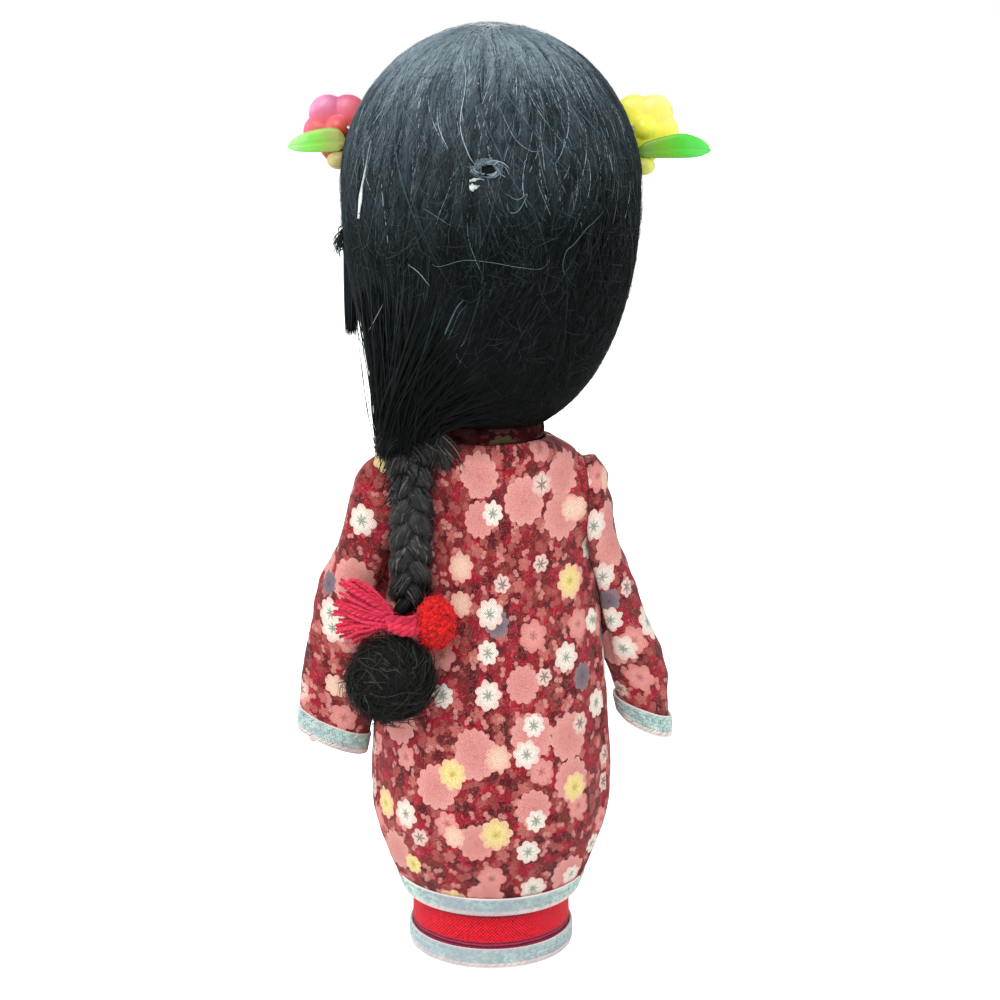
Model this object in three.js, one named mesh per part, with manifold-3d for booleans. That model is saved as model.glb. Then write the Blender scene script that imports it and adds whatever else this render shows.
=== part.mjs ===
// Peg doll: a turned wooden peg with an egg-shaped head, dressed in a padded cotton robe,
// with glued-on hair gathered into one plait and a plastic flower at each side of the head.
// Millimetres, +Z up. The origin is the centre of the flat underside of the peg.
// The doll faces -Y, its left arm is on the +X side, and the plait hangs down its back there.
import * as THREE from 'three';
import Module from 'manifold-3d';
import { mergeVertices } from 'three/addons/utils/BufferGeometryUtils.js';

// Fits
const clearance = 0.3; // between neighbours that touch or are sewn or glued together
const swingClearance = 0.5; // between pieces that move past each other

// Turned peg
const pegRadius = 15.6;
const pegHeight = 105;
const pegNeckRadius = 8.6;
const pegShoulderDrop = 20;
const pegChamfer = 0.6;

const neckRise = 3.6; // from the peg's top to the robe's neck

// Neck dowel
const dowelRadius = 4;
const dowelInPeg = 18;
const dowelInHead = 26;

// Head
const headHalfWidth = 27.3;
const headHalfDepth = 25.6;
const headLength = 76.3;
const headWidestRise = 46.4; // from its lowest point to where it is widest
const headSink = 0.5; // how far its lowest point lies inside the collar
const headFullness = 2.05;
const noseRadius = 2.2;
const noseDrop = 15; // below where the head is widest

// Hair
const hairSideThickness = 1.6;
const hairTopThickness = 1.6;
const hairBackThickness = 2.4;
const hairNapeDrop = 2.1; // how far the hair reaches below the head
const hairFullness = 2.15;
const hairFrontEdge = 7; // how far in front of the head's middle the back hair ends
const fringeRise = 2; // heights of the fringe and the locks, above where the head is widest
const lockRise = 6;
const lockLength = 37;
const lockRadius = 2.3;
const lockForward = 10.5;
const lockDriftLeft = 1.4;
const lockDriftRight = 5.4;

// Plait
const plaitX = 15.8;
const plaitDrop = 5.6; // from the robe's neck to the start of the plait
const plaitLength = 25.4;
const plaitHalfWidth = 4.1;
const plaitHalfDepth = 3.1;
const plaitLobes = 5;
const plaitLobeDepth = 0.35;
const gatherInset = 5.7; // from the side of the head to the middle of the gathered hair
const gatherBack = 5;
const gatherDrop = 29; // below where the head is widest
const gatherHalfWidth = 6.6;
const backGap = 0.8; // between the plait and the robe that it hangs against
const tieHeight = 4.3;
const tieRadius = 4.3;
const tieSide = 1.2; // how far the tie hangs to the side of the plait's root
const tuftSide = 3; // tuft, pompom and tassel, from the tie
const tuftDrop = 10.45;
const tuftHalfWidth = 9.3;
const tuftHalfHeight = 9.2;
const tuftHalfDepth = 5.6;
const pompomRadius = 3.9;
const pompomHalfHeight = 5.2;
const pompomSide = 6.1;
const pompomBack = 1.6;
const tasselRootSide = 2;
const tasselRootHalfWidth = 1.4;
const tasselLength = 12.4;
const tasselLean = 4.5; // how far its end lies in front of the tie
const tasselFlare = 6.8;
const tasselThickness = 1.7;

// Robe
const clothThickness = 0.8;
const hemHeight = 12.4;
const hemHalfWidth = 17.8;
const hipHeight = 30;
const hipHalfWidth = 24.3;
const waistHeight = 54;
const waistHalfWidth = 23.9;
const chestDrop = 17; // below the shoulders
const chestHalfWidth = 21.5;
const shoulderDrop = 10; // below the top of the peg
const shoulderHalfWidth = 19.3;
const shoulderTopRise = 8.6; // above the shoulders
const shoulderTopHalfWidth = 17.6;
const robeNeckHalfWidth = 12.2;
const hipDepthShare = 0.95;
const shoulderDepthShare = 0.8;
const armholeRadius = 9.8;
const armholePad = 0.9; // how far the padded armhole stands out of the robe's side
const armholeRounding = 3.6;
const seamGap = 0.3;
const closingNeck = 3; // where the front closing starts, beside the middle of the neck
const closingSide = 16.5; // how far round to the doll's right it runs

// Collar and trims
const collarHeight = 3.2;
const collarThickness = 1;
const gimpWidth = 4.3;
const gimpThickness = 0.8;
const edgeTrimWidth = 3;
const skirtBandHeight = 16.2;
const skirtBandThickness = 0.5;

// Arms, hands and sleeves
const sleeveTuck = 3.2; // how far the sleeve's head is drawn in over the shoulder
const sleeveCrownWidth = 4;
const sleeveCrownHalfDepth = 2.5;
const armpitRise = 5; // how much higher the elbow's bend is on the inner edge
const sleeveElbowHalfDepth = 6.8;
const cuffHalfDepth = 4.8;
const leftSleeve = {
  side: 1,
  crownReach: 2.3,
  shoulderReach: 8.2,
  elbowReach: 14.6,
  elbowDrop: 18,
  elbowWidth: 13.3,
  elbowForward: 0,
  bellow: 1.6,
  cuffReach: 19.7,
  cuffDrop: 47.4,
  cuffWidth: 13.2,
  cuffTilt: 5.6,
  cuffForward: 1,
  fingerReach: 4.6,
};
const rightSleeve = {
  side: -1,
  crownReach: 1,
  shoulderReach: 4.4,
  elbowReach: 9.2,
  elbowDrop: 18,
  elbowWidth: 9.4,
  elbowForward: 2.5,
  bellow: 3.6,
  cuffReach: 17.6,
  cuffDrop: 50.6,
  cuffWidth: 9.4,
  cuffTilt: -5.6,
  cuffForward: 5.5,
  fingerReach: 1.4,
};
const shoulderPinRadius = 0.9;
const shoulderPinInner = 5.5;
const armRadius = 1.7;
const armBossRadius = 2.9;
const armBossWidth = 1.7;
const handHalfWidth = 2.1;
const handHalfDepth = 1.4;
const handLength = 9;
const armForwardLimit = 60; // degrees
const headTurnLimit = 30; // degrees, towards the side away from the plait

// Hair ornaments
const flowerRadius = 7.4;
const flowerPetalWidth = 3.9;
const flowerPetalThickness = 1.9;
const flowerHeartRadius = 2.6;
const flowerStandOff = 3.7; // from the side of the head to the middle of the flower
const flowerForward = 14.5;
const flowerRise = 12; // above where the head is widest
const leafLengthLeft = 11;
const leafLengthRight = 14.2;
const leafHalfHeight = 2.8;
const leafThickness = 1.4;
const budRadius = 2.1;
const ornamentPinRadius = 0.7;
const ornamentPinDepth = 13;

// Fineness of the curved surfaces
const roundSides = 28;
const smallSides = 12;
const sleeveSides = 16;
const capSides = 18;
const robeRows = 12;
const sleeveRows = 9;
const eggRows = 12;
const sweepSteps = 3;

// Heights of what stands on the peg, one above the other
const shoulderHeight = pegHeight - shoulderDrop;
const shoulderTopHeight = shoulderHeight + shoulderTopRise;
const chestHeight = shoulderHeight - chestDrop;
const robeNeckHeight = pegHeight + neckRise;
const collarBottom = robeNeckHeight + clearance;
const collarTop = collarBottom + collarHeight;
const headBottom = collarTop - headSink;
const headTop = headBottom + headLength;
const headWidestHeight = headBottom + headWidestRise;
const hairBottom = headBottom - hairNapeDrop;

const wasm = await Module();
wasm.setup();
const group = new THREE.Group();

// A closed three.js shape as a solid that can be cut and joined.
function solidOf(geometry) {
  const bare = geometry.clone();
  bare.deleteAttribute('normal');
  bare.deleteAttribute('uv');
  const merged = mergeVertices(bare, 1e-4);
  const corners = merged.index.array;
  const triangles = [];
  for (let i = 0; i < corners.length; i += 3) {
    const [a, b, c] = corners.slice(i, i + 3);
    if (a !== b && b !== c && c !== a) triangles.push(a, b, c);
  }
  return new wasm.Manifold(new wasm.Mesh({
    numProp: 3,
    vertProperties: Float32Array.from(merged.attributes.position.array),
    triVerts: Uint32Array.from(triangles),
  }));
}

function geometryOf(solid) {
  const mesh = solid.getMesh();
  const geometry = new THREE.BufferGeometry();
  geometry.setAttribute('position', new THREE.BufferAttribute(mesh.vertProperties, 3));
  geometry.setIndex(new THREE.BufferAttribute(mesh.triVerts, 1));
  geometry.computeVertexNormals();
  return geometry;
}

// Adds one named piece to the doll.
function piece(name, solid, material) {
  const mesh = new THREE.Mesh(geometryOf(solid), material);
  mesh.name = name;
  group.add(mesh);
}

function finish(color, roughness) {
  return new THREE.MeshStandardMaterial({ color, roughness, metalness: 0 });
}

const beech = finish('#c9a273', 0.55);
const paintedWood = finish('#f0d3bd', 0.35);
const wadding = finish('#efe9dc', 0.95);
const floralCotton = finish('#8c2f3e', 0.85);
const shadedCotton = finish('#6d2430', 0.85);
const redRibbon = finish('#d81830', 0.7);
const aquaGimp = finish('#8fc0bc', 0.6);
const blackHair = finish('#1c2226', 0.5);
const crimsonYarn = finish('#f03058', 0.9);
const redYarn = finish('#e81018', 0.95);
const steelWire = new THREE.MeshStandardMaterial({ color: '#b9bcc0', roughness: 0.35, metalness: 1 });
const pinkPlastic = finish('#ef6b86', 0.3);
const yellowPlastic = finish('#f4ec60', 0.3);
const limePlastic = finish('#8cdc5c', 0.35);
const greenPlastic = finish('#50d030', 0.35);
const olivePlastic = finish('#c9b85c', 0.35);

const turnAxis = new THREE.Vector3(0, 0, 1);
const swingAxis = new THREE.Vector3(1, 0, 0);

// A turned shape about the Z axis from [radius, height] points that run upwards.
function turned(points, sides = roundSides) {
  const profile = points.map(([radius, height]) => new THREE.Vector2(Math.max(radius, 0), height));
  return new THREE.LatheGeometry(profile, sides).rotateX(Math.PI / 2);
}

function disc(radius, from, to, sides = roundSides) {
  return solidOf(turned([[0, from], [radius, from], [radius, to], [0, to]], sides));
}

// A round bar from one point to another.
function bar(from, to, radius, sides = smallSides) {
  const along = to.clone().sub(from);
  const geometry = new THREE.CylinderGeometry(radius, radius, along.length(), sides);
  const upright = new THREE.Vector3(0, 1, 0);
  geometry.applyQuaternion(new THREE.Quaternion().setFromUnitVectors(upright, along.clone().normalize()));
  const middle = from.clone().add(to).multiplyScalar(0.5);
  return solidOf(geometry.translate(middle.x, middle.y, middle.z));
}

function ellipsoid(centre, halfWidth, halfDepth, halfHeight, sides = smallSides) {
  const geometry = new THREE.SphereGeometry(1, sides, sides / 2).rotateX(Math.PI / 2);
  geometry.scale(halfWidth, halfDepth, halfHeight);
  return solidOf(geometry.translate(centre.x, centre.y, centre.z));
}

// A box from its lowest corner to its highest corner.
function block(x0, y0, z0, x1, y1, z1) {
  const geometry = new THREE.BoxGeometry(x1 - x0, y1 - y0, z1 - z0);
  return solidOf(geometry.translate((x0 + x1) / 2, (y0 + y1) / 2, (z0 + z1) / 2));
}

// A tube with rounded section whose rings are given by ring(t), t from 0 at its top to 1.
// A ring has a centre and two half-axes, across and away.
function lofted(rows, sides, ring) {
  const geometry = new THREE.CylinderGeometry(1, 1, 1, sides, rows);
  const place = geometry.attributes.position;
  const from = ring(0);
  const upward = from.centre.clone().sub(ring(0.5).centre);
  const handed = from.across.clone().cross(upward).dot(from.away) > 0 ? 1 : -1;
  for (let i = 0; i < place.count; i += 1) {
    const { centre, across, away } = ring(0.5 - place.getY(i));
    const point = centre.clone().addScaledVector(across, place.getX(i));
    point.addScaledVector(away, handed * place.getZ(i));
    place.setXYZ(i, point.x, point.y, point.z);
  }
  return solidOf(geometry);
}

// A rope-like tube along points, whose half-width and half-depth follow functions of t.
function rope(points, halfWidth, halfDepth, rows, sides = smallSides) {
  const path = new THREE.CatmullRomCurve3(points);
  return lofted(rows, sides, (t) => {
    const along = path.getTangent(t);
    const across = new THREE.Vector3(1, 0, 0).addScaledVector(along, -along.x).normalize();
    const away = across.clone().cross(along).normalize();
    return {
      centre: path.getPoint(t),
      across: across.multiplyScalar(halfWidth(t)),
      away: away.multiplyScalar(halfDepth(t)),
    };
  });
}

// What a piece that turns by each of the angles must stay clear of, seen from that piece.
function swept(solid, axis, centre, angles) {
  return angles.map((angle) => {
    const turn = new THREE.Matrix4().makeRotationAxis(axis, THREE.MathUtils.degToRad(angle));
    const toCentre = new THREE.Matrix4().makeTranslation(-centre.x, -centre.y, -centre.z);
    const back = new THREE.Matrix4().makeTranslation(centre.x, centre.y, centre.z);
    return solid.transform(back.multiply(turn).multiply(toCentre).elements);
  }).reduce((all, one) => all.add(one));
}

function steps(count) {
  return Array.from({ length: count + 1 }, (_, i) => i / count);
}

// Peg and neck dowel

const pegShoulder = pegHeight - pegShoulderDrop;
const dowelBottom = pegHeight - dowelInPeg;
const dowelTop = headBottom + dowelInHead;

function pegForm(grow) {
  const rounded = steps(5).map((t) => [
    grow + pegNeckRadius + (pegRadius - pegNeckRadius) * Math.cos(t * Math.PI / 2),
    grow + pegShoulder + pegShoulderDrop * Math.sin(t * Math.PI / 2),
  ]);
  return solidOf(turned([
    [0, 0],
    [pegRadius + grow - pegChamfer, 0],
    [pegRadius + grow, pegChamfer],
    ...rounded,
    [0, pegHeight + grow],
  ]));
}

function shoulderPin(side) {
  const inner = new THREE.Vector3(side * shoulderPinInner, 0, shoulderHeight);
  const outer = new THREE.Vector3(side * (armBossInner + armBossWidth + clearance), 0, shoulderHeight);
  return { inner, outer };
}

function pinHole(side, room) {
  const { inner, outer } = shoulderPin(side);
  const start = inner.clone().setX(inner.x - side * clearance);
  return bar(start, outer.clone().setX(outer.x + side * room), shoulderPinRadius + clearance, 12);
}

// Robe

const robeOutline = new THREE.SplineCurve([
  new THREE.Vector2(hemHalfWidth, hemHeight),
  new THREE.Vector2(hipHalfWidth, hipHeight),
  new THREE.Vector2(waistHalfWidth, waistHeight),
  new THREE.Vector2(chestHalfWidth, chestHeight),
  new THREE.Vector2(shoulderHalfWidth, shoulderHeight),
  new THREE.Vector2(shoulderTopHalfWidth, shoulderTopHeight),
  new THREE.Vector2(robeNeckHalfWidth, robeNeckHeight),
]);

// How deep the robe is for its width: round at the hem, flatter at the shoulders.
function depthShare(height) {
  const low = THREE.MathUtils.smoothstep(height, hemHeight, hipHeight);
  const high = THREE.MathUtils.smoothstep(height, hipHeight, shoulderHeight);
  return 1 - (1 - hipDepthShare) * low - (hipDepthShare - shoulderDepthShare) * high;
}

// The robe's outer form, moved inwards by inset and run on by past at the hem and the neck.
function robeForm(inset, past) {
  const outline = robeOutline.getPoints(robeRows);
  const first = outline[0];
  const last = outline[robeRows];
  const points = outline.map((p) => [p.x - inset, p.y]);
  const below = past > 0 ? [[first.x - inset, first.y - past]] : [];
  const above = past > 0 ? [[last.x - inset, last.y + past]] : [];
  const geometry = turned([
    [0, first.y - past], ...below, ...points, ...above, [0, last.y + past],
  ]);
  const place = geometry.attributes.position;
  for (let i = 0; i < place.count; i += 1) place.setY(i, place.getY(i) * depthShare(place.getZ(i)));
  return solidOf(geometry);
}

// The padded end of each shoulder, round about the line that the arm swings on.
const armholeReach = shoulderHalfWidth + armholePad;

function armholeCap(side, inset) {
  const radius = armholeRadius - inset;
  const end = armholeReach - inset;
  const rounded = [
    [radius, end - armholeRounding],
    [radius * 0.93, end - armholeRounding * 0.42],
    [radius * 0.76, end],
  ];
  const geometry = turned([[0, 0], [radius, 0], ...rounded, [0, end]], capSides)
    .rotateY(side * Math.PI / 2);
  return solidOf(geometry.translate(0, 0, shoulderHeight));
}

function robeBody(inset, past) {
  return robeForm(inset, past).add(armholeCap(1, inset)).add(armholeCap(-1, inset));
}

const far = 4 * pegRadius; // reaches past every piece of clothing
const robeAbove = robeNeckHeight + gimpWidth;
const armBossInner = armholeReach + swingClearance;
const pinHoles = pinHole(1, far).add(pinHole(-1, far));
const robeShell = robeBody(0, 0).subtract(robeBody(clothThickness, clothThickness)).subtract(pinHoles);
const backHalf = block(-far, seamGap / 2, 0, far, far, robeAbove);
const frontHalf = block(-far, -far, 0, far, -seamGap / 2, robeAbove);

// The line where the front overlap ends: from the neck to under the right arm and down.
const closingLine = new THREE.SplineCurve([
  new THREE.Vector2(closingNeck, robeAbove),
  new THREE.Vector2(closingNeck / 3, (robeNeckHeight + shoulderTopHeight) / 2 - gimpWidth / 2),
  new THREE.Vector2(-closingSide * 0.42, shoulderHeight),
  new THREE.Vector2(-closingSide * 0.88, (shoulderHeight + chestHeight) / 2 - edgeTrimWidth / 2),
  new THREE.Vector2(-closingSide, (chestHeight + waistHeight) / 2),
  new THREE.Vector2(-closingSide, hipHeight),
  new THREE.Vector2(-closingSide * 0.85, 0),
]);

// A flat outline in X and Z, cut through the front of the doll.
function frontCut(outline) {
  const geometry = new THREE.ExtrudeGeometry(new THREE.Shape(outline), { depth: far, bevelEnabled: false });
  return solidOf(geometry.rotateX(Math.PI / 2));
}

// Points beside the closing line, at a distance to the doll's left of it.
function besideClosing(distance, from = 0, to = 1) {
  return steps(10).map((share) => {
    const t = from + (to - from) * share;
    const along = closingLine.getTangent(t);
    const point = closingLine.getPoint(t);
    return new THREE.Vector2(point.x - along.y * distance, point.y + along.x * distance);
  });
}

const overlap = frontCut([
  ...besideClosing(0), new THREE.Vector2(far, 0), new THREE.Vector2(far, robeAbove),
]);
const underlap = frontCut([
  ...besideClosing(-seamGap), new THREE.Vector2(-far, 0), new THREE.Vector2(-far, robeAbove),
]);

// Gimp follows the cloth that it is sewn to, clear of it by the fit.
function gimpLayer(low, high) {
  const layer = robeForm(-clearance - gimpThickness, gimpWidth).subtract(robeForm(-clearance, 2 * gimpWidth));
  return layer.intersect(block(-far, -far, low, far, far, high));
}

const hemTrimTop = hemHeight + gimpWidth;
const edgeStrip = frontCut([
  ...besideClosing(-edgeTrimWidth / 2, 0.02, 0.97),
  ...besideClosing(edgeTrimWidth / 2, 0.02, 0.97).reverse(),
]);
const capRoom = armholeCap(1, -clearance).add(armholeCap(-1, -clearance));
const edgeTrim = gimpLayer(hemTrimTop + clearance, robeNeckHeight - clothThickness)
  .intersect(edgeStrip).subtract(capRoom);

const skirtBandRadius = pegRadius + clearance + skirtBandThickness;
const skirtBand = disc(skirtBandRadius, clearance, skirtBandHeight)
  .subtract(disc(pegRadius + clearance, -1, skirtBandHeight + 1));
const skirtTrimInner = skirtBandRadius + clearance;
const skirtTrim = disc(skirtTrimInner + gimpThickness, 0, gimpWidth)
  .subtract(disc(skirtTrimInner, -1, gimpWidth + 1));

const padding = robeBody(clothThickness + clearance, 0)
  .subtract(block(-far, -far, 0, far, far, skirtBandHeight + clearance))
  .subtract(pegForm(clearance))
  .subtract(pinHoles)
  .subtract(disc(pegNeckRadius + clearance, pegShoulder, robeAbove));

const collarRadius = robeNeckHalfWidth * shoulderDepthShare + collarThickness;
const collar = disc(collarRadius, collarBottom, collarTop)
  .subtract(disc(collarRadius - collarThickness, collarBottom - 1, collarTop + 1));

const dowel = disc(dowelRadius, dowelBottom, dowelTop, smallSides);
const peg = pegForm(0)
  .subtract(disc(dowelRadius + clearance, dowelBottom - clearance, far * 2, smallSides))
  .subtract(pinHoles);

piece('peg_body', peg, beech);
piece('neck_dowel', dowel, beech);
piece('body_padding', padding, wadding);
piece('underskirt_band', skirtBand, redRibbon);
piece('underskirt_trim', skirtTrim, aquaGimp);
piece('robe_back', robeShell.intersect(backHalf), floralCotton);
piece('robe_front_overlap', robeShell.intersect(frontHalf).intersect(overlap), floralCotton);
piece('robe_front_under', robeShell.intersect(frontHalf).intersect(underlap), floralCotton);
piece('robe_hem_trim', gimpLayer(hemHeight, hemTrimTop), aquaGimp);
piece('robe_edge_trim', edgeTrim, aquaGimp);
piece('collar', collar, shadedCotton);

// Sleeves, arms and hands

const point = (x, y, z) => new THREE.Vector3(x, y, z);

// A sleeve hangs between an outer and an inner edge. Each is a curve from the crown of the
// shoulder past the elbow to the cuff, as reaches out from the armhole and drops below it.
function sleeveCurves(sleeve) {
  const at = (reach, drop) => point(sleeve.side * (armholeReach + reach), 0, shoulderHeight - drop);
  const crown = armholeRadius * 0.98;
  const { elbowDrop, elbowReach, elbowWidth, cuffDrop, cuffReach, cuffWidth, cuffTilt } = sleeve;
  return {
    outer: new THREE.CatmullRomCurve3([
      at(sleeve.crownReach, -crown),
      at(sleeve.shoulderReach * 0.78, -crown * 0.62),
      at(sleeve.shoulderReach, 0),
      at(elbowReach, elbowDrop),
      at((elbowReach + cuffReach) / 2 + sleeve.bellow, (elbowDrop + cuffDrop) / 2),
      at(cuffReach, cuffDrop),
    ]),
    inner: new THREE.CatmullRomCurve3([
      at(sleeve.crownReach - sleeveCrownWidth, sleeveCrownWidth / 4 - crown),
      at(-sleeveTuck, -crown * 0.3),
      at(-sleeveTuck, crown * 0.45),
      at(elbowReach - elbowWidth, elbowDrop + armpitRise),
      at(
        (elbowReach + cuffReach - elbowWidth - cuffWidth) / 2,
        (elbowDrop + armpitRise + cuffDrop + cuffTilt) / 2,
      ),
      at(cuffReach - cuffWidth, cuffDrop + cuffTilt),
    ]),
    depth: new THREE.CatmullRomCurve3([
      point(0, sleeveCrownHalfDepth, 0),
      point(0, armholeRadius * 0.7, 0),
      point(0, armholeRadius * 0.82, 0),
      point(-sleeve.elbowForward, sleeveElbowHalfDepth, 0),
      point(-(sleeve.elbowForward + sleeve.cuffForward) / 2, (sleeveElbowHalfDepth + cuffHalfDepth) / 2, 0),
      point(-sleeve.cuffForward, cuffHalfDepth, 0),
    ]),
  };
}

// A sleeve's form between two shares of its length, grown outwards by grow.
function sleeveForm(sleeve, grow, from, to, rows) {
  const { outer, inner, depth } = sleeveCurves(sleeve);
  return lofted(rows, sleeveSides, (t) => {
    const share = from + (to - from) * t;
    const reach = Math.min(share, 1);
    const edge = outer.getPoint(reach);
    const fold = inner.getPoint(reach);
    const thick = depth.getPoint(reach);
    const across = edge.clone().sub(fold).multiplyScalar(0.5);
    const centre = edge.clone().add(fold).multiplyScalar(0.5).setY(thick.x);
    centre.z += (reach - share) * (sleeve.cuffDrop + armholeRadius);
    across.setLength(across.length() + grow);
    return { centre, across, away: point(0, thick.y + grow, 0) };
  });
}

const shoulderLine = point(0, 0, shoulderHeight);
const robeRoom = swept(
  robeBody(-swingClearance, 0),
  swingAxis,
  shoulderLine,
  steps(sweepSteps).map((share) => share * armForwardLimit),
);

// Places in the middle of a sleeve, by share of its length.
function insideSleeve(sleeve, share) {
  const { outer, inner, depth } = sleeveCurves(sleeve);
  return outer.getPoint(share).add(inner.getPoint(share)).multiplyScalar(0.5).setY(depth.getPoint(share).x);
}

function armPieces(name, sleeve) {
  const { side } = sleeve;
  const shoulder = point(side * (armBossInner + armBossWidth / 2), 0, shoulderHeight);
  const half = point(side * armBossWidth / 2, 0, 0);
  const boss = bar(shoulder.clone().sub(half), shoulder.clone().add(half), armBossRadius);
  const elbow = insideSleeve(sleeve, 0.62);
  const wrist = insideSleeve(sleeve, 0.92);
  const arm = rope([shoulder, elbow, wrist], () => armRadius, () => armRadius, 6, 10)
    .add(boss)
    .subtract(robeRoom)
    .subtract(pinHole(side, clearance));

  const cuffMiddle = insideSleeve(sleeve, 1);
  const handDirection = cuffMiddle.clone().sub(wrist).add(point(side * sleeve.fingerReach * 0.7, 0, 0));
  const reach = handDirection.setLength(handLength);
  const palmStart = wrist.clone().addScaledVector(reach, clearance / handLength);
  const palm = (t) => 0.35 * Math.sqrt(Math.max(0.02, 1 - (2 * t - 1) ** 2)) + 0.65 * (1 - t ** 4) * (0.55 + 0.45 * t);
  const hand = rope(
    [palmStart, palmStart.clone().addScaledVector(reach, 0.5), palmStart.clone().add(reach)],
    (t) => handHalfWidth * palm(t),
    (t) => handHalfDepth * palm(t),
    6,
    8,
  ).subtract(bar(elbow, palmStart, armRadius + clearance, 10));

  const cuffShare = 1 - gimpWidth / (sleeve.cuffDrop + armholeRadius);
  const shell = sleeveForm(sleeve, 0, 0, 1, sleeveRows)
    .subtract(sleeveForm(sleeve, -clothThickness, 0.08, 1.05, sleeveRows))
    .subtract(robeRoom);
  const cuff = sleeveForm(sleeve, clearance + gimpThickness, cuffShare, 1, 3)
    .subtract(sleeveForm(sleeve, clearance, cuffShare - 0.05, 1.05, 4))
    .subtract(robeRoom);

  const { inner, outer } = shoulderPin(side);
  piece(`shoulder_pin_${name}`, bar(inner, outer, shoulderPinRadius, 12), steelWire);
  piece(`arm_${name}`, arm, beech);
  piece(`hand_${name}`, hand, paintedWood);
  piece(`sleeve_${name}`, shell, floralCotton);
  piece(`cuff_trim_${name}`, cuff, aquaGimp);
}

armPieces('left', leftSleeve);
armPieces('right', rightSleeve);

// Head and hair

// An egg about the Z axis, fuller below its widest height than an ellipse is.
function egg(halfWidth, halfDepth, widest, top, bottom, fullness) {
  const points = steps(eggRows).map((t) => {
    const angle = (t - 0.5) * Math.PI;
    const power = angle < 0 ? 2 / fullness : 1;
    const height = angle < 0 ? widest - bottom : top - widest;
    const lift = Math.sign(angle) * Math.abs(Math.sin(angle)) ** power;
    return [halfWidth * Math.max(Math.cos(angle), 0) ** power, widest + height * lift];
  });
  points[0][0] = 0;
  points[eggRows][0] = 0;
  return solidOf(turned(points).scale(1, halfDepth / halfWidth, 1));
}

function headForm(grow) {
  return egg(headHalfWidth + grow, headHalfDepth + grow, headWidestHeight, headTop + grow,
    headBottom - grow, headFullness);
}

function hairForm(grow) {
  return egg(headHalfWidth + clearance + hairSideThickness + grow,
    headHalfDepth + clearance + hairBackThickness + grow,
    headWidestHeight, headTop + clearance + hairTopThickness + grow, hairBottom - grow, hairFullness);
}

// Ornament places: the flower stands beside the fringe on a pin that goes into the head.
function ornamentFrame(side) {
  const hub = point(side * (headHalfWidth + flowerStandOff), -flowerForward, headWidestHeight + flowerRise);
  const inwards = point(-side * 0.86, 0.42, -0.3).normalize();
  return { hub, inwards, pinEnd: hub.clone().addScaledVector(inwards, flowerHeartRadius + ornamentPinDepth) };
}

function ornamentPin(side, grow) {
  const { hub, inwards, pinEnd } = ornamentFrame(side);
  const start = hub.clone().addScaledVector(inwards, -grow);
  return bar(start, pinEnd.clone().addScaledVector(inwards, grow), ornamentPinRadius + grow, 10);
}

const ornamentHoles = ornamentPin(1, clearance).add(ornamentPin(-1, clearance));
const headRoom = headForm(clearance);
const noseCentre = point(0, noseRadius / 2 - headHalfDepth, headWidestHeight - noseDrop);
const nose = ellipsoid(noseCentre, noseRadius * 0.8, noseRadius, noseRadius);
const head = headForm(0)
  .add(nose)
  .subtract(disc(dowelRadius + clearance, 0, dowelTop + clearance, smallSides))
  .subtract(ornamentHoles);

const behindFace = block(-far, -hairFrontEdge, 0, far, far, headTop * 2);
const fringeHeight = headWidestHeight + fringeRise;
const aboveFace = block(-far, -far, fringeHeight, far, -hairFrontEdge - clearance, headTop * 2);
const hairShell = hairForm(0)
  .subtract(headRoom)
  .subtract(disc(collarRadius + 2 * swingClearance, 0, collarTop + swingClearance))
  .subtract(ornamentHoles);

// A lock hangs in front of each ear. Drift is how far its tip comes in along the cheek.
function sideLock(side, drift) {
  const edge = headHalfWidth + hairSideThickness / 2;
  const lockTop = headWidestHeight + lockRise;
  const lockBottom = lockTop - lockLength;
  const path = [
    point(side * (edge - lockRadius / 2), -lockForward, lockTop),
    point(side * edge, -lockForward, headWidestHeight - lockRise / 2),
    point(side * (edge - drift * 0.2), -lockForward, (lockTop + lockBottom) / 2),
    point(side * (edge - drift), -lockForward, lockBottom),
  ];
  const taper = (t) => lockRadius * (0.55 + 0.9 * t - 1.1 * t ** 3);
  return rope(path, (t) => taper(t) * 0.8, taper, 9, 10)
    .subtract(headRoom)
    .subtract(behindFace.translate([0, -clearance, 0]))
    .subtract(aboveFace.translate([0, 0, -clearance]));
}

piece('head', head, paintedWood);
piece('hair_back', hairShell.intersect(behindFace), blackHair);
piece('hair_fringe', hairShell.intersect(aboveFace), blackHair);
piece('side_lock_left', sideLock(1, lockDriftLeft), blackHair);
piece('side_lock_right', sideLock(-1, lockDriftRight), blackHair);

// Plait: the hair is gathered behind the left side of the neck and hangs against the robe.

// The robe's back surface at a place across the doll and a height.
function backOfRobe(x, height) {
  const outline = robeOutline.getPoints(robeRows * 4);
  const level = outline.reduce((best, p) => (Math.abs(p.y - height) < Math.abs(best.y - height) ? p : best));
  return level.x * depthShare(height) * Math.sqrt(Math.max(0, 1 - (x / level.x) ** 2));
}

// A point on the plait's middle line, which lies on the robe by the side nearer the spine.
function onBack(x, height, halfWidth, halfDepth) {
  return point(x, backOfRobe(x - halfWidth * 0.9, height) + backGap + halfDepth, height);
}

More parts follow.
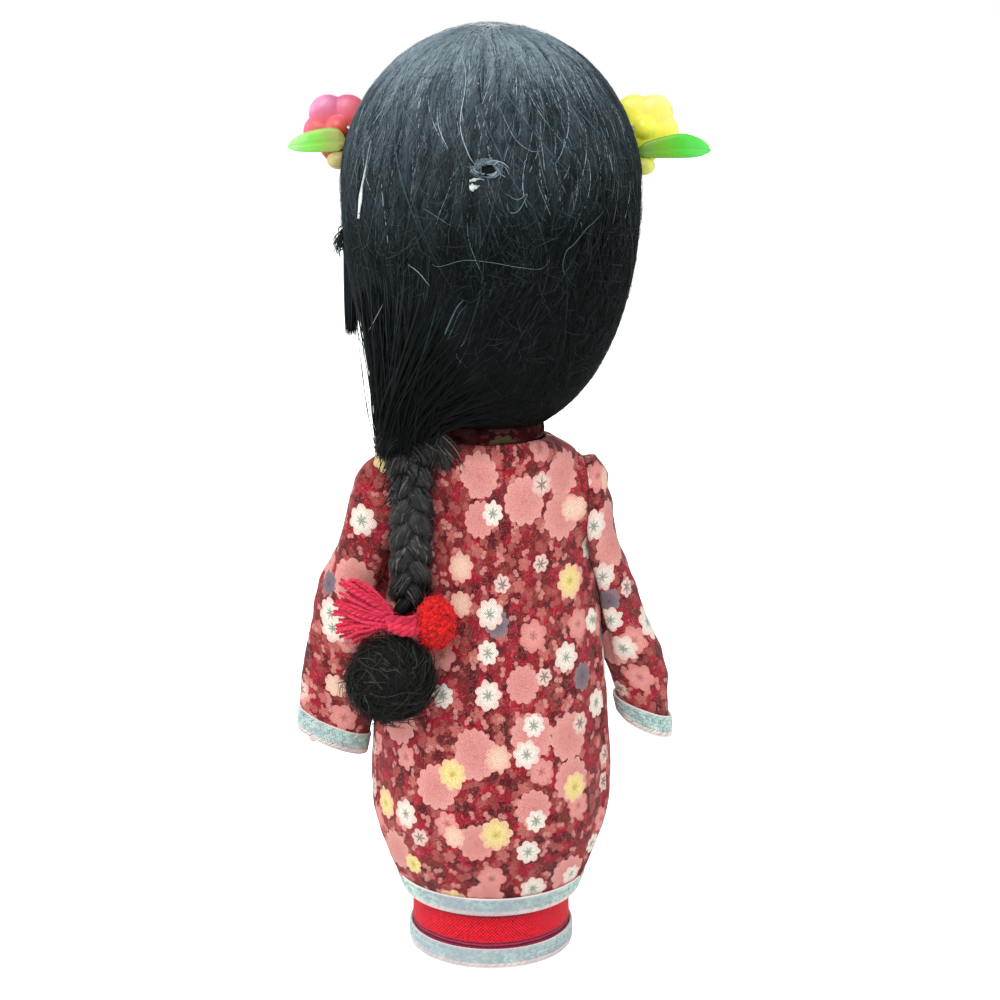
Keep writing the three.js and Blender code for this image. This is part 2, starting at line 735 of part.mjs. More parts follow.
const plaitTop = robeNeckHeight - plaitDrop;
const plaitBottom = plaitTop - plaitLength;
const tieTop = plaitBottom - clearance;
const tieBottom = tieTop - tieHeight;
const tieMiddle = (tieTop + tieBottom) / 2;
const plaitRoot = onBack(plaitX, plaitTop, plaitHalfWidth, plaitHalfDepth);
const tieCentre = onBack(plaitX + tieSide, tieMiddle, tieRadius, tieRadius * 0.8);
const robeBehind = swept(
  robeBody(-swingClearance, 0).add(disc(collarRadius + swingClearance, 0, collarTop + clearance)),
  turnAxis,
  point(0, 0, 0),
  steps(sweepSteps).map((share) => -share * headTurnLimit),
);
const rootBall = ellipsoid(plaitRoot, plaitHalfWidth, plaitHalfWidth, plaitHalfWidth);
const rootRoom = ellipsoid(plaitRoot, plaitHalfWidth + clearance, plaitHalfWidth + clearance, plaitHalfWidth + clearance);

const gatherStart = point(headHalfWidth - gatherInset, gatherBack, headWidestHeight - gatherDrop);
const gatherMiddle = gatherStart.clone().lerp(plaitRoot, 0.6).setY(plaitRoot.y);
const gather = rope(
  [gatherStart, gatherMiddle, plaitRoot],
  (t) => gatherHalfWidth + (plaitHalfWidth - gatherHalfWidth) * t,
  (t) => gatherHalfWidth * 0.62 + (plaitHalfDepth - gatherHalfWidth * 0.62) * t,
  6,
).add(rootBall).subtract(hairForm(clearance)).subtract(headRoom).subtract(robeBehind);

const plaitMiddle = (plaitTop + plaitBottom) / 2;
const plaitLobe = (t) => 1 - plaitLobeDepth / plaitHalfWidth * (1 + Math.cos(2 * Math.PI * plaitLobes * t)) / 2;
const plaitForm = (grow) => rope(
  [
    plaitRoot,
    onBack(plaitX, plaitMiddle, plaitHalfWidth, plaitHalfDepth),
    onBack(plaitX + tieSide / 3, plaitBottom, plaitHalfWidth, plaitHalfDepth),
  ],
  (t) => plaitHalfWidth * plaitLobe(t) + grow,
  (t) => plaitHalfDepth * plaitLobe(t) + grow,
  plaitLobes * 2,
  10,
);
const plait = plaitForm(0).subtract(rootRoom).subtract(robeBehind);
const plaitRoom = plaitForm(clearance);

const tie = ellipsoid(tieCentre, tieRadius * 1.15, tieRadius, tieHeight * 0.66)
  .intersect(block(-far, -far, tieBottom, far, far, tieTop))
  .subtract(robeBehind);
const tieRoom = ellipsoid(tieCentre, tieRadius * 1.15 + clearance, tieRadius + clearance,
  tieHeight * 0.66 + clearance);
const tuftCentre = onBack(tieCentre.x + tuftSide, tieMiddle - tuftDrop, tuftHalfWidth, tuftHalfDepth * 0.71);
const tuft = ellipsoid(tuftCentre, tuftHalfWidth, tuftHalfDepth, tuftHalfHeight, smallSides)
  .subtract(block(-far, -far, tieBottom - clearance, far, far, tieTop))
  .subtract(robeBehind);
const pompomCentre = point(tieCentre.x - pompomSide, tieCentre.y + pompomBack, tieMiddle);
const pompom = ellipsoid(pompomCentre, pompomRadius, pompomRadius, pompomHalfHeight)
  .subtract(tieRoom)
  .subtract(plaitRoom)
  .subtract(robeBehind);
const pompomRoom = ellipsoid(pompomCentre, pompomRadius + clearance, pompomRadius + clearance,
  pompomHalfHeight + clearance);
const tasselRoot = tieCentre.clone().add(point(tasselRootSide, 0, tieHeight / 12));
const tasselEnd = tasselRoot.clone().add(point(tasselLength, -tasselLean, tieHeight / 7));
const tassel = lofted(6, 14, (t) => ({
  centre: tasselRoot.clone().lerp(tasselEnd, t),
  across: point(0, 0, tasselRootHalfWidth + (tasselFlare - tasselRootHalfWidth) * t),
  away: point(0.2, 1, 0).setLength(tasselRootHalfWidth + (tasselThickness - tasselRootHalfWidth) * t),
})).subtract(tieRoom).subtract(plaitRoom).subtract(robeBehind);
const tasselRoom = tassel.translate([0, clearance, 0]).add(tassel.translate([0, -clearance, 0]))
  .add(tassel.translate([0, 0, -clearance]));

piece('hair_gather', gather, blackHair);
piece('plait', plait.subtract(tieRoom), blackHair);
piece('plait_tie', tie, crimsonYarn);
piece('tie_tassel', tassel, crimsonYarn);
piece('tie_pompom', pompom, redYarn);
piece('plait_tuft', tuft.subtract(tasselRoom).subtract(pompomRoom), blackHair);

// Hair ornaments: a five-petalled flower, a leaf behind it and a bud under it, on a pin.

function flower(side) {
  const { hub } = ornamentFrame(side);
  const petalReach = flowerRadius - flowerPetalWidth;
  let whole = ellipsoid(hub, flowerHeartRadius, flowerHeartRadius, flowerHeartRadius, 8);
  for (let i = 0; i < 5; i += 1) {
    const angle = (-0.25 + i / 5) * 2 * Math.PI;
    const centre = hub.clone().add(point(petalReach * Math.cos(angle), -0.6, petalReach * Math.sin(angle)));
    whole = whole.add(ellipsoid(centre, flowerPetalWidth, flowerPetalThickness, flowerPetalWidth, 8));
  }
  return whole.subtract(ornamentPin(side, clearance));
}

function leaf(side, length) {
  const { hub } = ornamentFrame(side);
  const outline = new THREE.Shape();
  outline.moveTo(0, 0);
  outline.quadraticCurveTo(length * 0.35, -leafHalfHeight * 0.35, length, 0);
  outline.quadraticCurveTo(length * 0.8, leafHalfHeight * 2, length * 0.4, leafHalfHeight * 1.9);
  outline.quadraticCurveTo(length * 0.2, leafHalfHeight * 1.8, 0, leafHalfHeight);
  const geometry = new THREE.ExtrudeGeometry(outline, {
    depth: leafThickness * 0.4, bevelThickness: leafThickness * 0.3, bevelSize: 0.4, bevelSegments: 2, curveSegments: 8,
  });
  const rightwards = solidOf(geometry.rotateX(Math.PI / 2));
  const blade = side > 0 ? rightwards : rightwards.mirror([1, 0, 0]);
  const behind = Math.max(flowerHeartRadius, flowerPetalThickness) + clearance + leafThickness;
  return { blade, place: [hub.x - side * 1.4, hub.y + behind, hub.z - leafHalfHeight * 1.6] };
}

function ornament(name, side, leafLength, petals, blade) {
  const { hub } = ornamentFrame(side);
  const leafShape = leaf(side, leafLength);
  const leafSolid = leafShape.blade.translate(leafShape.place).subtract(ornamentPin(side, clearance));
  const budCentre = point(hub.x - side * 0.8, hub.y + flowerPetalThickness + budRadius * 0.6,
    hub.z - flowerRadius + budRadius * 0.6);
  const flowerSolid = flower(side);
  const bud = ellipsoid(budCentre, budRadius * 1.15, budRadius, budRadius, 8)
    .subtract(flowerSolid.translate([0, clearance, 0]))
    .subtract(flowerSolid)
    .subtract(leafSolid.translate([0, 0, -clearance]))
    .subtract(leafSolid)
    .subtract(ornamentPin(side, clearance));
  piece(`ornament_pin_${name}`, ornamentPin(side, 0), steelWire);
  piece(`flower_${name}`, flowerSolid, petals);
  piece(`flower_leaf_${name}`, leafSolid, blade);
  piece(`flower_bud_${name}`, bud, olivePlastic);
}

ornament('left', 1, leafLengthLeft, pinkPlastic, limePlastic);
ornament('right', -1, leafLengthRight, yellowPlastic, greenPlastic);

export default group;
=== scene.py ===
from functools import partial
import math
import bpy
import numpy as np
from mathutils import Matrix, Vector


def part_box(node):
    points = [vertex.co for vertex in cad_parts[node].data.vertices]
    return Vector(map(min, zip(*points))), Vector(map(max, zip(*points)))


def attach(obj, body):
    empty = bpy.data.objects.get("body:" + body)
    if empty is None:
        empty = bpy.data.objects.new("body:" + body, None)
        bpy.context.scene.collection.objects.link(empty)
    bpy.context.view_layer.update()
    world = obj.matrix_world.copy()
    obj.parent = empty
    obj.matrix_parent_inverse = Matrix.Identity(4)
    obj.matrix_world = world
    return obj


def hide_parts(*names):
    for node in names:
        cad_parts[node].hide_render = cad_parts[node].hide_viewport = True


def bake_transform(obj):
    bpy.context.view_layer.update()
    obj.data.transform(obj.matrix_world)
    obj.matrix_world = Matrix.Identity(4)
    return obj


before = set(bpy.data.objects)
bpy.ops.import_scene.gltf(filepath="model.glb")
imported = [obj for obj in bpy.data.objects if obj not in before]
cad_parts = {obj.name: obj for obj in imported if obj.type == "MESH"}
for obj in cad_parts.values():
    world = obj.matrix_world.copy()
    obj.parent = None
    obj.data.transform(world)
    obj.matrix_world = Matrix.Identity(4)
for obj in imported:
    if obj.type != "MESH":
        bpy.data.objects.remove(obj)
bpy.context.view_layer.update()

# Camera and room
# The doll stands on a pale table in front of a white wall, seen from behind and a little above.
# One big soft lamp hangs over the camera, and three weaker ones fill the sides and the front.

mm = 0.001
camera_distance = 430
camera_height = 195
camera_tilt = 13
focal_length = 78
doll_middle = (0, 0, 0.1)
lamp_size = 0.6
table_reach = 3

scene = bpy.context.scene
lens = bpy.data.cameras.new("photo_camera")
camera = bpy.data.objects.new("photo_camera", lens)
scene.collection.objects.link(camera)
scene.camera = camera
camera.location = (0, camera_distance * mm, camera_height * mm)
camera.rotation_euler = (math.radians(90 - camera_tilt), 0, math.pi)
lens.lens = focal_length
lens.shift_x = 0.009
lens.shift_y = -0.0025
lens.clip_start = 0.01


def srgb(code):
    """A hex colour as linear red, green, blue and alpha."""
    parts = [int(code[i:i + 2], 16) / 255 for i in (1, 3, 5)]
    return [c / 12.92 if c <= 0.04045 else ((c + 0.055) / 1.055) ** 2.4 for c in parts] + [1]


def add(tree, kind, *values, stops=(), **named):
    """Adds a shader node, or a Math node where the kind is an operation in capitals.

    The values go to its inputs in order, and each named one to its setting or input of that name. They are
    numbers, hex colours, and nodes or sockets to link. A ramp's stops are pairs of a place and a colour."""
    made = tree.nodes.new("ShaderNodeMath" if kind.isupper() else "ShaderNode" + kind)
    if kind.isupper():
        made.operation = kind
    names = [socket.name.lower().replace(" ", "_") for socket in made.inputs]
    for name, value in named.items():
        if name not in names:
            setattr(made, name, value)
    inputs = [(name, socket) for name, socket in zip(names, made.inputs) if socket.enabled]
    filled = [(socket, value) for (name, socket), value in zip(inputs, values)]
    filled += [(socket, named[name]) for name, socket in inputs if name in named]
    for socket, value in filled:
        if isinstance(value, bpy.types.Node):
            value = next(output for output in value.outputs if output.enabled)
        if isinstance(value, bpy.types.NodeSocket):
            tree.links.new(value, socket)
        else:
            socket.default_value = srgb(value) if isinstance(value, str) else value
    for number, (place, colour) in enumerate(stops):
        elements = made.color_ramp.elements
        stop = elements[number] if number < 2 else elements.new(place)
        stop.position = place
        stop.color = srgb(colour)
    return made


def blank(name):
    """An empty material, and the function that adds nodes to it."""
    made = bpy.data.materials.new(name)
    made.use_nodes = True
    made.node_tree.nodes.clear()
    return made, partial(add, made.node_tree)


room = bpy.data.worlds.new("white_room")
room.use_nodes = True
room.node_tree.nodes.clear()
node = partial(add, room.node_tree)
to_camera = node("LightPath").outputs["Is Camera Ray"]
light = node("Background", "#f4f6f8", 0.5)
wall = node("Background", "#ffffff", 1.0)
node("OutputWorld", node("MixShader", to_camera, light, wall))
scene.world = room
scene.view_settings.view_transform = "Standard"

lamps = [("key_lamp", (0.25, 0.75, 0.85), 9), ("left_lamp", (0.9, 0.1, 0.35), 3),
         ("right_lamp", (-0.9, 0.2, 0.35), 3), ("front_lamp", (0.1, -0.9, 0.5), 5)]
for name, place, power in lamps:
    data = bpy.data.lights.new(name, "AREA")
    data.size = lamp_size
    data.energy = power
    lamp = bpy.data.objects.new(name, data)
    scene.collection.objects.link(lamp)
    lamp.location = place
    lamp.rotation_mode = "QUATERNION"
    lamp.rotation_quaternion = (Vector(doll_middle) - Vector(place)).to_track_quat("-Z", "Y")

# Matt off-white board. The camera sees it almost as white as the wall, with the doll's shadow on it.
table_top, node = blank("table_top")
to_camera = node("LightPath").outputs["Is Camera Ray"]
lit = node("BsdfDiffuse", "#f6f8f7")
pale = node("AddShader", lit, node("Emission", "#ffffff", 0.68))
node("OutputMaterial", node("MixShader", to_camera, lit, pale))
corners = [(x * table_reach, y * table_reach, 0) for x, y in ((-1, -1), (1, -1), (1, 1), (-1, 1))]
table_mesh = bpy.data.meshes.new("table_top")
table_mesh.from_pydata(corners, [], [(0, 1, 2, 3)])
table_mesh.materials.append(table_top)
table = bpy.data.objects.new("table_top", table_mesh)
scene.collection.objects.link(table)

# Peg and neck dowel
# A turned beech peg with a rounded shoulder carries the doll. A dowel of the same wood is glued into
# its top for the head to turn on, and the arms are thin round sticks of it.

peg_radius = 15.6
peg_height = 105
peg_neck_radius = 8.6
peg_shoulder = 85
foot_chamfer = 0.6


def xyz(x, y, z):
    """Points from their coordinates, each an array or a number."""
    return np.stack(np.broadcast_arrays(x, y, z), -1)


def full_turn(count):
    return np.linspace(0, 2 * np.pi, count, endpoint=False)


def around(radius, angle, height):
    """Points at a radius and an angle round the upright axis."""
    return xyz(radius * np.cos(angle), radius * np.sin(angle), height)


def quads(points, uv=None, wrap=False, material=0):
    """A grid of points (rows, columns, 3) as corners, faces, UVs and material number.

    With wrap its last column joins its first, and uv has one column more than points."""
    rows, columns = points.shape[:2]
    span = columns if wrap else columns - 1
    r, c = np.meshgrid(np.arange(rows - 1), np.arange(span), indexing="ij")
    corners = [(r, c), (r, c + 1), (r + 1, c + 1), (r + 1, c)]
    faces = np.stack([i * columns + j % columns for i, j in corners], -1).reshape(-1, 4)
    if uv is None:
        flat = np.zeros((faces.size, 2))
    else:
        flat = np.stack([uv[i, j] for i, j in corners], -2).reshape(-1, 2)
    return points.reshape(-1, 3), faces, flat, material


def piece(name, parts, materials, body, replaced=(), thickness=0):
    """One object from grids in millimetres, riding on a body. With thickness it is cloth, solid inwards."""
    sizes = np.cumsum([0] + [len(p[0]) for p in parts[:-1]])
    points = np.concatenate([p[0] for p in parts]) * mm
    faces = np.concatenate([p[1] + start for p, start in zip(parts, sizes)])
    uv = np.concatenate([p[2] for p in parts])
    numbers = np.concatenate([np.full(len(p[1]), p[3]) for p in parts])
    mesh = bpy.data.meshes.new(name)
    mesh.vertices.add(len(points))
    mesh.vertices.foreach_set("co", points.astype(np.float32).ravel())
    mesh.loops.add(faces.size)
    mesh.loops.foreach_set("vertex_index", faces.astype(np.int32).ravel())
    mesh.polygons.add(len(faces))
    mesh.polygons.foreach_set("loop_start", np.arange(0, faces.size, 4, dtype=np.int32))
    mesh.polygons.foreach_set("material_index", numbers.astype(np.int32))
    mesh.polygons.foreach_set("use_smooth", np.ones(len(faces), bool))
    mesh.uv_layers.new(name="cloth").data.foreach_set("uv", (uv * mm).astype(np.float32).ravel())
    mesh.update(calc_edges=True)
    made = bpy.data.objects.new(name, mesh)
    scene.collection.objects.link(made)
    for material in materials:
        mesh.materials.append(material)
    if thickness:
        solid = made.modifiers.new("cloth_thickness", "SOLIDIFY")
        solid.thickness = thickness * mm
        solid.offset = -1
    if body:
        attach(made, body)
    if replaced:
        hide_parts(*replaced)
    return made


def surface(node, relief, strength, depth, **looks):
    """Ends a material with one shader of those looks, over a relief that is about depth millimetres deep."""
    bump = node("Bump", height=relief, strength=strength, distance=depth * mm)
    node("OutputMaterial", node("BsdfPrincipled", normal=bump, **looks))


def give(material, *solids):
    """Puts the material on CAD solids that show as they are."""
    for name in solids:
        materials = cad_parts[name].data.materials
        materials.clear()
        materials.append(material)


# Beech: fine straight pores along the peg, about two to a millimetre, over slow pale and tan bands,
# with a satin finish. A pattern whose scale is 2.2 / mm has 2.2 marks to a millimetre.
beech, node = blank("turned_beech")
along = node("Mapping", node("TexCoord").outputs["Object"], scale=(1, 1, 0.06))
pores = node("TexNoise", along, scale=2.2 / mm, detail=4)
bands = node("TexNoise", along, scale=0.26 / mm, detail=2)
grain = node("ValToRGB", node("MULTIPLY", pores, bands), stops=[(0.14, "#a87b4c"), (0.4, "#dcb98a")])
surface(node, pores, 0.25, 0.1, base_color=grain, roughness=0.5)

shoulder = [[peg_neck_radius + (peg_radius - peg_neck_radius) * math.cos(t),
             peg_shoulder + (peg_height - peg_shoulder) * math.sin(t)] for t in np.linspace(0, np.pi / 2, 24)]
profile = [[0, 0], [peg_radius - foot_chamfer, 0], [peg_radius, foot_chamfer], *shoulder, [0, peg_height]]
radius, height = np.array(profile, float).T[:, :, None]
turned = around(radius, full_turn(96), height)
piece("turned_peg", [quads(turned, wrap=True)], [beech], "torso", ["peg_body"])
give(beech, "neck_dowel", "arm_left", "arm_right")

# Robe and wadding
# The robe is cut from printed cotton: one back panel and two fronts that cross over to the right.
# It is stretched over cotton wadding wound round the peg, drawn in at the hem, and sewn at the sides.

robe_outline = [[12.4, 17.8], [30, 24.3], [54, 23.9], [78, 21.5], [95, 19.3], [103.6, 17.6], [108.6, 12.2]]
hem_height, hip_height, shoulder_height, robe_top = 12.4, 30, 95, 108.6
hip_depth_share, shoulder_depth_share = 0.95, 0.8
armhole_radius = 9.8
armhole_reach = 20.2
armhole_rounding = 3.6
cloth_thickness = 0.5
closing_line = [[0, -14], [30, -16.5], [66, -16.5], [85, -14.5], [95, -7], [104, 1], [112.9, 3]]


def spline(points, steps):
    """A smooth curve through points, in that many even steps between each two."""
    points = np.array(points, float)
    ends = np.concatenate([[2 * points[0] - points[1]], points, [2 * points[-1] - points[-2]]])
    t = np.linspace(0, 1, steps, endpoint=False)[:, None]
    spans = []
    for a, b, c, d in zip(ends, ends[1:], ends[2:], ends[3:]):
        spans.append(b + 0.5 * t * (c - a + t * (2 * a - 5 * b + 4 * c - d + t * (3 * (b - c) + d - a))))
    return np.concatenate([*spans, points[-1:]])


def smooth(low, high, value):
    """0 below low and 1 above high, with a soft step between. Low may be the greater one."""
    t = np.clip((value - low) / (high - low), 0, 1)
    return t * t * (3 - 2 * t)


def hill(away, width):
    """1 in the middle, falling off softly to each side over about the width."""
    return np.exp(-(away / width) ** 2)


def ripple(points, size, seed):
    """Smooth random hills about size across, mostly from -1 to 1, at an array of points."""
    rng = np.random.default_rng(seed)
    waves = rng.normal(size=(3, 9))
    waves *= 2 * np.pi / size / np.linalg.norm(waves, axis=0) * rng.uniform(0.6, 1.3, 9)
    return np.sin(points @ waves + rng.uniform(0, 2 * np.pi, 9)).mean(axis=-1) * 2


robe_curve = spline(robe_outline, 12)
closing_curve = spline(closing_line, 12)


def robe_half_width(height):
    return np.interp(height, robe_curve[:, 0], robe_curve[:, 1])


def robe_point(angle, height, out=0):
    """A point of the robe, at an angle round from the doll's left towards its back."""
    wide = robe_half_width(height)
    at_hip = smooth(hem_height, hip_height, height) * (1 - hip_depth_share)
    higher = smooth(hip_height, shoulder_height, height) * (hip_depth_share - shoulder_depth_share)
    deep = wide * (1 - at_hip - higher)
    body = ((np.cos(angle) / wide) ** 2 + (np.sin(angle) / deep) ** 2) ** -0.5
    level = np.abs(height - shoulder_height) / armhole_radius
    inner = np.clip(1 - level, 0.001, 1)
    cap_depth = armhole_radius * np.sqrt(inner * (2 - inner))
    cap_reach = armhole_reach - armhole_rounding * (1 - np.sqrt(1 - (1 - inner) ** 3))
    cap = ((np.abs(np.cos(angle)) / cap_reach) ** 6 + (np.abs(np.sin(angle)) / cap_depth) ** 6) ** (-1 / 6)
    cap = cap * (level < 1)
    share = np.clip(0.5 + (cap - body) / 2.4, 0, 1)
    far = body + (cap - body) * share + 1.2 * share * (1 - share) + out
    return around(far, angle, height)


def robe_panel(first, last, height):
    """A panel between two angles, each of which may change with height, with its seams, folds and slack."""
    angle = first[:, None] + (last - first)[:, None] * np.linspace(0, 1, 150)
    level = height[:, None] + 0 * angle
    points = robe_point(angle, level)
    middle = np.pi / 2 if first.mean() + last.mean() > 0 else -np.pi / 2
    side = np.minimum(np.abs(np.cos(angle / 2)), np.abs(np.sin(angle / 2))) * 2 * robe_half_width(level)
    seam = -0.45 * hill(side, 0.6) + 0.2 * hill(side - 1.4, 0.8)
    seam += (middle > 0) * (0.45 * hill(side - 7.2, 0.45) - 0.35 * hill(side - 6, 0.7))
    slack = 0.28 * ripple(points * [1, 1, 0.35], 13, 4) + 0.1 * ripple(points, 5, 5)
    drawn = 0.2 * np.sin(angle * 34 + 2 * np.sin(angle * 5)) * (1 - smooth(16, 27, level))
    pull = 0.3 * ripple(points * [0.4, 0.4, 1.2], 9, 6) * smooth(70, 90, level)
    swell = (seam * smooth(90, 84, level) + slack + drawn + pull) * smooth(robe_top, 103, level)
    swell *= 1 - smooth(0.75, 0.95, np.abs(np.cos(angle))) * smooth(80, 86, level)
    swell += 1.3 * hill(level - 106.2, 2.2)
    turned_in = np.where(np.arange(len(height)) < len(height) - 2, 0, -1.3)[:, None]
    points = robe_point(angle, level, swell + turned_in)
    return quads(points, np.stack([(angle - middle) * robe_half_width(level), level], -1))


# Printed cotton: pink scalloped blossoms, white and cream flowers with star centres and a few grey
# blue ones over a dark red ground crowded with small leaves. Matt plain weave, with its threads about
# half a millimetre apart and dark holes between them.
per_mm = (1 / mm, 1 / mm, 1 / mm)
print_start = (-6, -10, 0)
thread_pitch = 0.56


def printed_cotton(name, painted_shade):
    """Printed plain weave, darkened towards dark maroon by the share given as painted shade. Its lengths are
    millimetres.
    """
    made, node = blank(name)
    flat = node("VectorMath", node("UVMap", uv_map="cloth"), per_mm, print_start, operation="MULTIPLY_ADD")
    shaky = node("TexNoise", flat, scale=0.7, detail=2).outputs["Color"]
    spot = node("VectorMath", shaky, (0.7, 0.7, 0), flat, operation="MULTIPLY_ADD")

    def over(mask, under, colour, strength=1.0):
        """The colour laid over what is under it, where the mask is."""
        return node("Mix", node("MULTIPLY", mask, strength), under, colour, data_type="RGBA")

    def scatter(pitch, seed, feature="F1"):
        """Cells of that pitch: distance and angle from a cell's middle, its size and its random number."""
        moved = node("VectorMath", spot, (seed * 37.3, seed * 21.1, 0), operation="ADD")
        cells = node("TexVoronoi", moved, scale=1 / pitch, randomness=0.85, voronoi_dimensions="2D",
                     feature=feature).outputs
        away = node("VectorMath", moved, cells["Position"], operation="SUBTRACT")
        x, y, z = node("SeparateXYZ", away).outputs
        number, spin, growth = node("SeparateColor", cells["Color"]).outputs
        angle = node("ADD", node("ARCTAN2", y, x), node("MULTIPLY", spin, 2 * math.pi))
        size = node("MULTIPLY_ADD", growth, 0.3, 0.82)
        return node("MULTIPLY", cells["Distance"], pitch), angle, size, number

    def flower(place, low, high, petals, radius, notch):
        """The mask of a flower in the cells whose number is from low to high, and its petals' waves."""
        far, angle, size, number = place
        wave = node("ABSOLUTE", node("COSINE", node("MULTIPLY", angle, petals / 2)))
        edge = node("MULTIPLY", node("MULTIPLY_ADD", wave, notch, 1 - notch), size)
        inside = node("MULTIPLY_ADD", edge, radius, node("MULTIPLY", far, -1.0))
        whole = node("Clamp", node("MULTIPLY", inside, 6.0))
        here = node("MULTIPLY", node("GREATER_THAN", number, low), node("LESS_THAN", number, high))
        return node("MULTIPLY", whole, here), wave

    patches = node("TexNoise", spot, scale=0.13, detail=2)
    paint = node("ValToRGB", patches, stops=[(0.36, "#602629"), (0.43, "#7a2327"), (0.5, "#8a1f29"),
                                             (0.56, "#a6162f"), (0.6, "#901f29"), (0.68, "#6e3028")])
    # Each sprig: pitch, seed, petals, radius, depth of the notches, least number of its cells, colour.
    sprigs = [(3.9, 3, 2, 1.9, 0.8, 0.5, "#96403c"), (3.6, 1, 3, 1.9, 0.6, 0.55, "#54141b"),
              (3.6, 2, 3, 1.5, 0.7, 0.55, "#b02238"), (3.4, 4, 2, 1.6, 0.75, 0.55, "#ac5550"),
              (5.2, 8, 5, 1.6, 0.4, 0.5, "#c87069"), (3.3, 9, 2, 1.1, 0.75, 0.5, "#d88f86")]
    for pitch, seed, petals, radius, notch, least, colour in sprigs:
        mark = flower(scatter(pitch, seed), least, 1.1, petals, radius, notch)[0]
        paint = over(mark, paint, colour, 0.85)
    for size, shift, colour in ((0.8, 0, "#d08078"), (0.65, 9, "#50121a")):
        moved = node("VectorMath", spot, (shift, shift, 0), operation="ADD")
        curls = node("TexNoise", moved, scale=size, detail=1, distortion=1.2)
        off_line = node("ABSOLUTE", node("SUBTRACT", curls, 0.5))
        paint = over(node("Clamp", node("MULTIPLY_ADD", off_line, -40.0, 1.0)), paint, colour, 0.6)

    # Each flower: pitch, seed, range of its cells' numbers, petals, radius, depth of the notches, reach of
    # the star in its middle, and its colours inside, at the petals' tips and in the star.
    kinds = [(10.4, 5, 0.0, 0.33, 12, 4.6, 0.14, 0.0, "#dc8f89", "#e6a49b", "#cf7f79"),
             (10.4, 5, 0.33, 0.6, 6, 3.1, 0.26, 0.2, "#e69a92", "#d6807a", "#b46264"),
             (10.4, 5, 0.6, 0.72, 9, 3.0, 0.18, 0.12, "#7c6a72", "#96848a", "#5c4c56"),
             (9.4, 6, 0.0, 0.3, 7, 3.1, 0.24, 0.26, "#f2e8dc", "#efbcb0", "#7a8872"),
             (9.4, 6, 0.3, 0.43, 8, 3.3, 0.2, 0.2, "#f0dc92", "#efb69e", "#c9a84c"),
             (9.4, 6, 0.43, 0.55, 8, 2.8, 0.2, 0.0, "#f0c8b0", "#e99c92", "#f2d8c0"),
             (9.4, 6, 0.55, 0.63, 6, 2.4, 0.26, 0.4, "#eccfc2", "#dda098", "#75605c")]
    for pitch, seed, low, high, petals, radius, notch, reach, colour, rim, heart in kinds:
        for feature in ("F2", "F1"):
            place = scatter(pitch, seed, feature)
            mark, wave = flower(place, low, high, petals, radius, notch)
            paint = over(mark, paint, colour)
            tip = node("Clamp", node("MULTIPLY_ADD", place[0], 1.6 / radius, -0.75))
            paint = over(node("MULTIPLY", tip, mark), paint, rim, 0.9)
            star = node("MULTIPLY_ADD", node("POWER", wave, 2.0), reach * radius, 0.2 * radius + 0.6 * reach)
            middle = node("Clamp", node("SUBTRACT", star, place[0]))
            paint = over(node("MULTIPLY", middle, mark), paint, heart, 0.95)
    # Painted shade: the print is darkened towards maroon by that share, and its sheen and shine fall by the
    # same share.
    paint = over(1.0, paint, "#1e090b", painted_shade)

    axes = node("SeparateXYZ", flat).outputs
    warp, weft = [node("COSINE", node("MULTIPLY", axes[n], 2 * math.pi / thread_pitch)) for n in (0, 1)]
    weave = node("MULTIPLY", warp, weft)
    holes = node("Clamp", node("MULTIPLY_ADD", weave, 2.0, -0.5))
    slub = node("TexNoise", flat, scale=1.6, detail=4)
    level = node("MULTIPLY_ADD", holes, -0.34, node("MULTIPLY_ADD", slub, 0.5, 0.68))
    grey = node("CombineColor", level, level, level)
    dyed = node("Mix", 1.0, paint, grey, data_type="RGBA", blend_type="MULTIPLY")
    raised = node("MULTIPLY_ADD", slub, 0.8, node("MULTIPLY", weave, -1.0))
    surface(node, raised, 0.5, 0.1, base_color=dyed, roughness=0.9, sheen_weight=0.08 * (1 - painted_shade),
            sheen_roughness=0.5, specular_ior_level=0.15 * (1 - painted_shade))
    return made


def closing_angle(height):
    """The angle of the front closing at each height."""
    reach = np.interp(height, closing_curve[:, 0], closing_curve[:, 1])
    return -np.arccos(np.clip(reach / robe_half_width(height), -1, 1))


floral_cotton = printed_cotton("printed_floral_cotton", 0.0)
rise = np.concatenate([np.linspace(hem_height, 80, 90, endpoint=False), np.linspace(80, robe_top, 60),
                       [robe_top + 0.1, robe_top + 0.1]])
seam_angle = np.full(len(rise), 0.007)
piece("robe_back_panel", [robe_panel(seam_angle, np.pi - seam_angle, rise)], [floral_cotton],
      "torso", ["robe_back"], cloth_thickness)
piece("robe_front_over_panel", [robe_panel(closing_angle(rise), -seam_angle, rise)], [floral_cotton],
      "torso", ["robe_front_overlap"], cloth_thickness)
piece("robe_front_under_panel", [robe_panel(seam_angle - np.pi, closing_angle(rise) - 0.02, rise)],
      [floral_cotton], "torso", ["robe_front_under"], cloth_thickness)

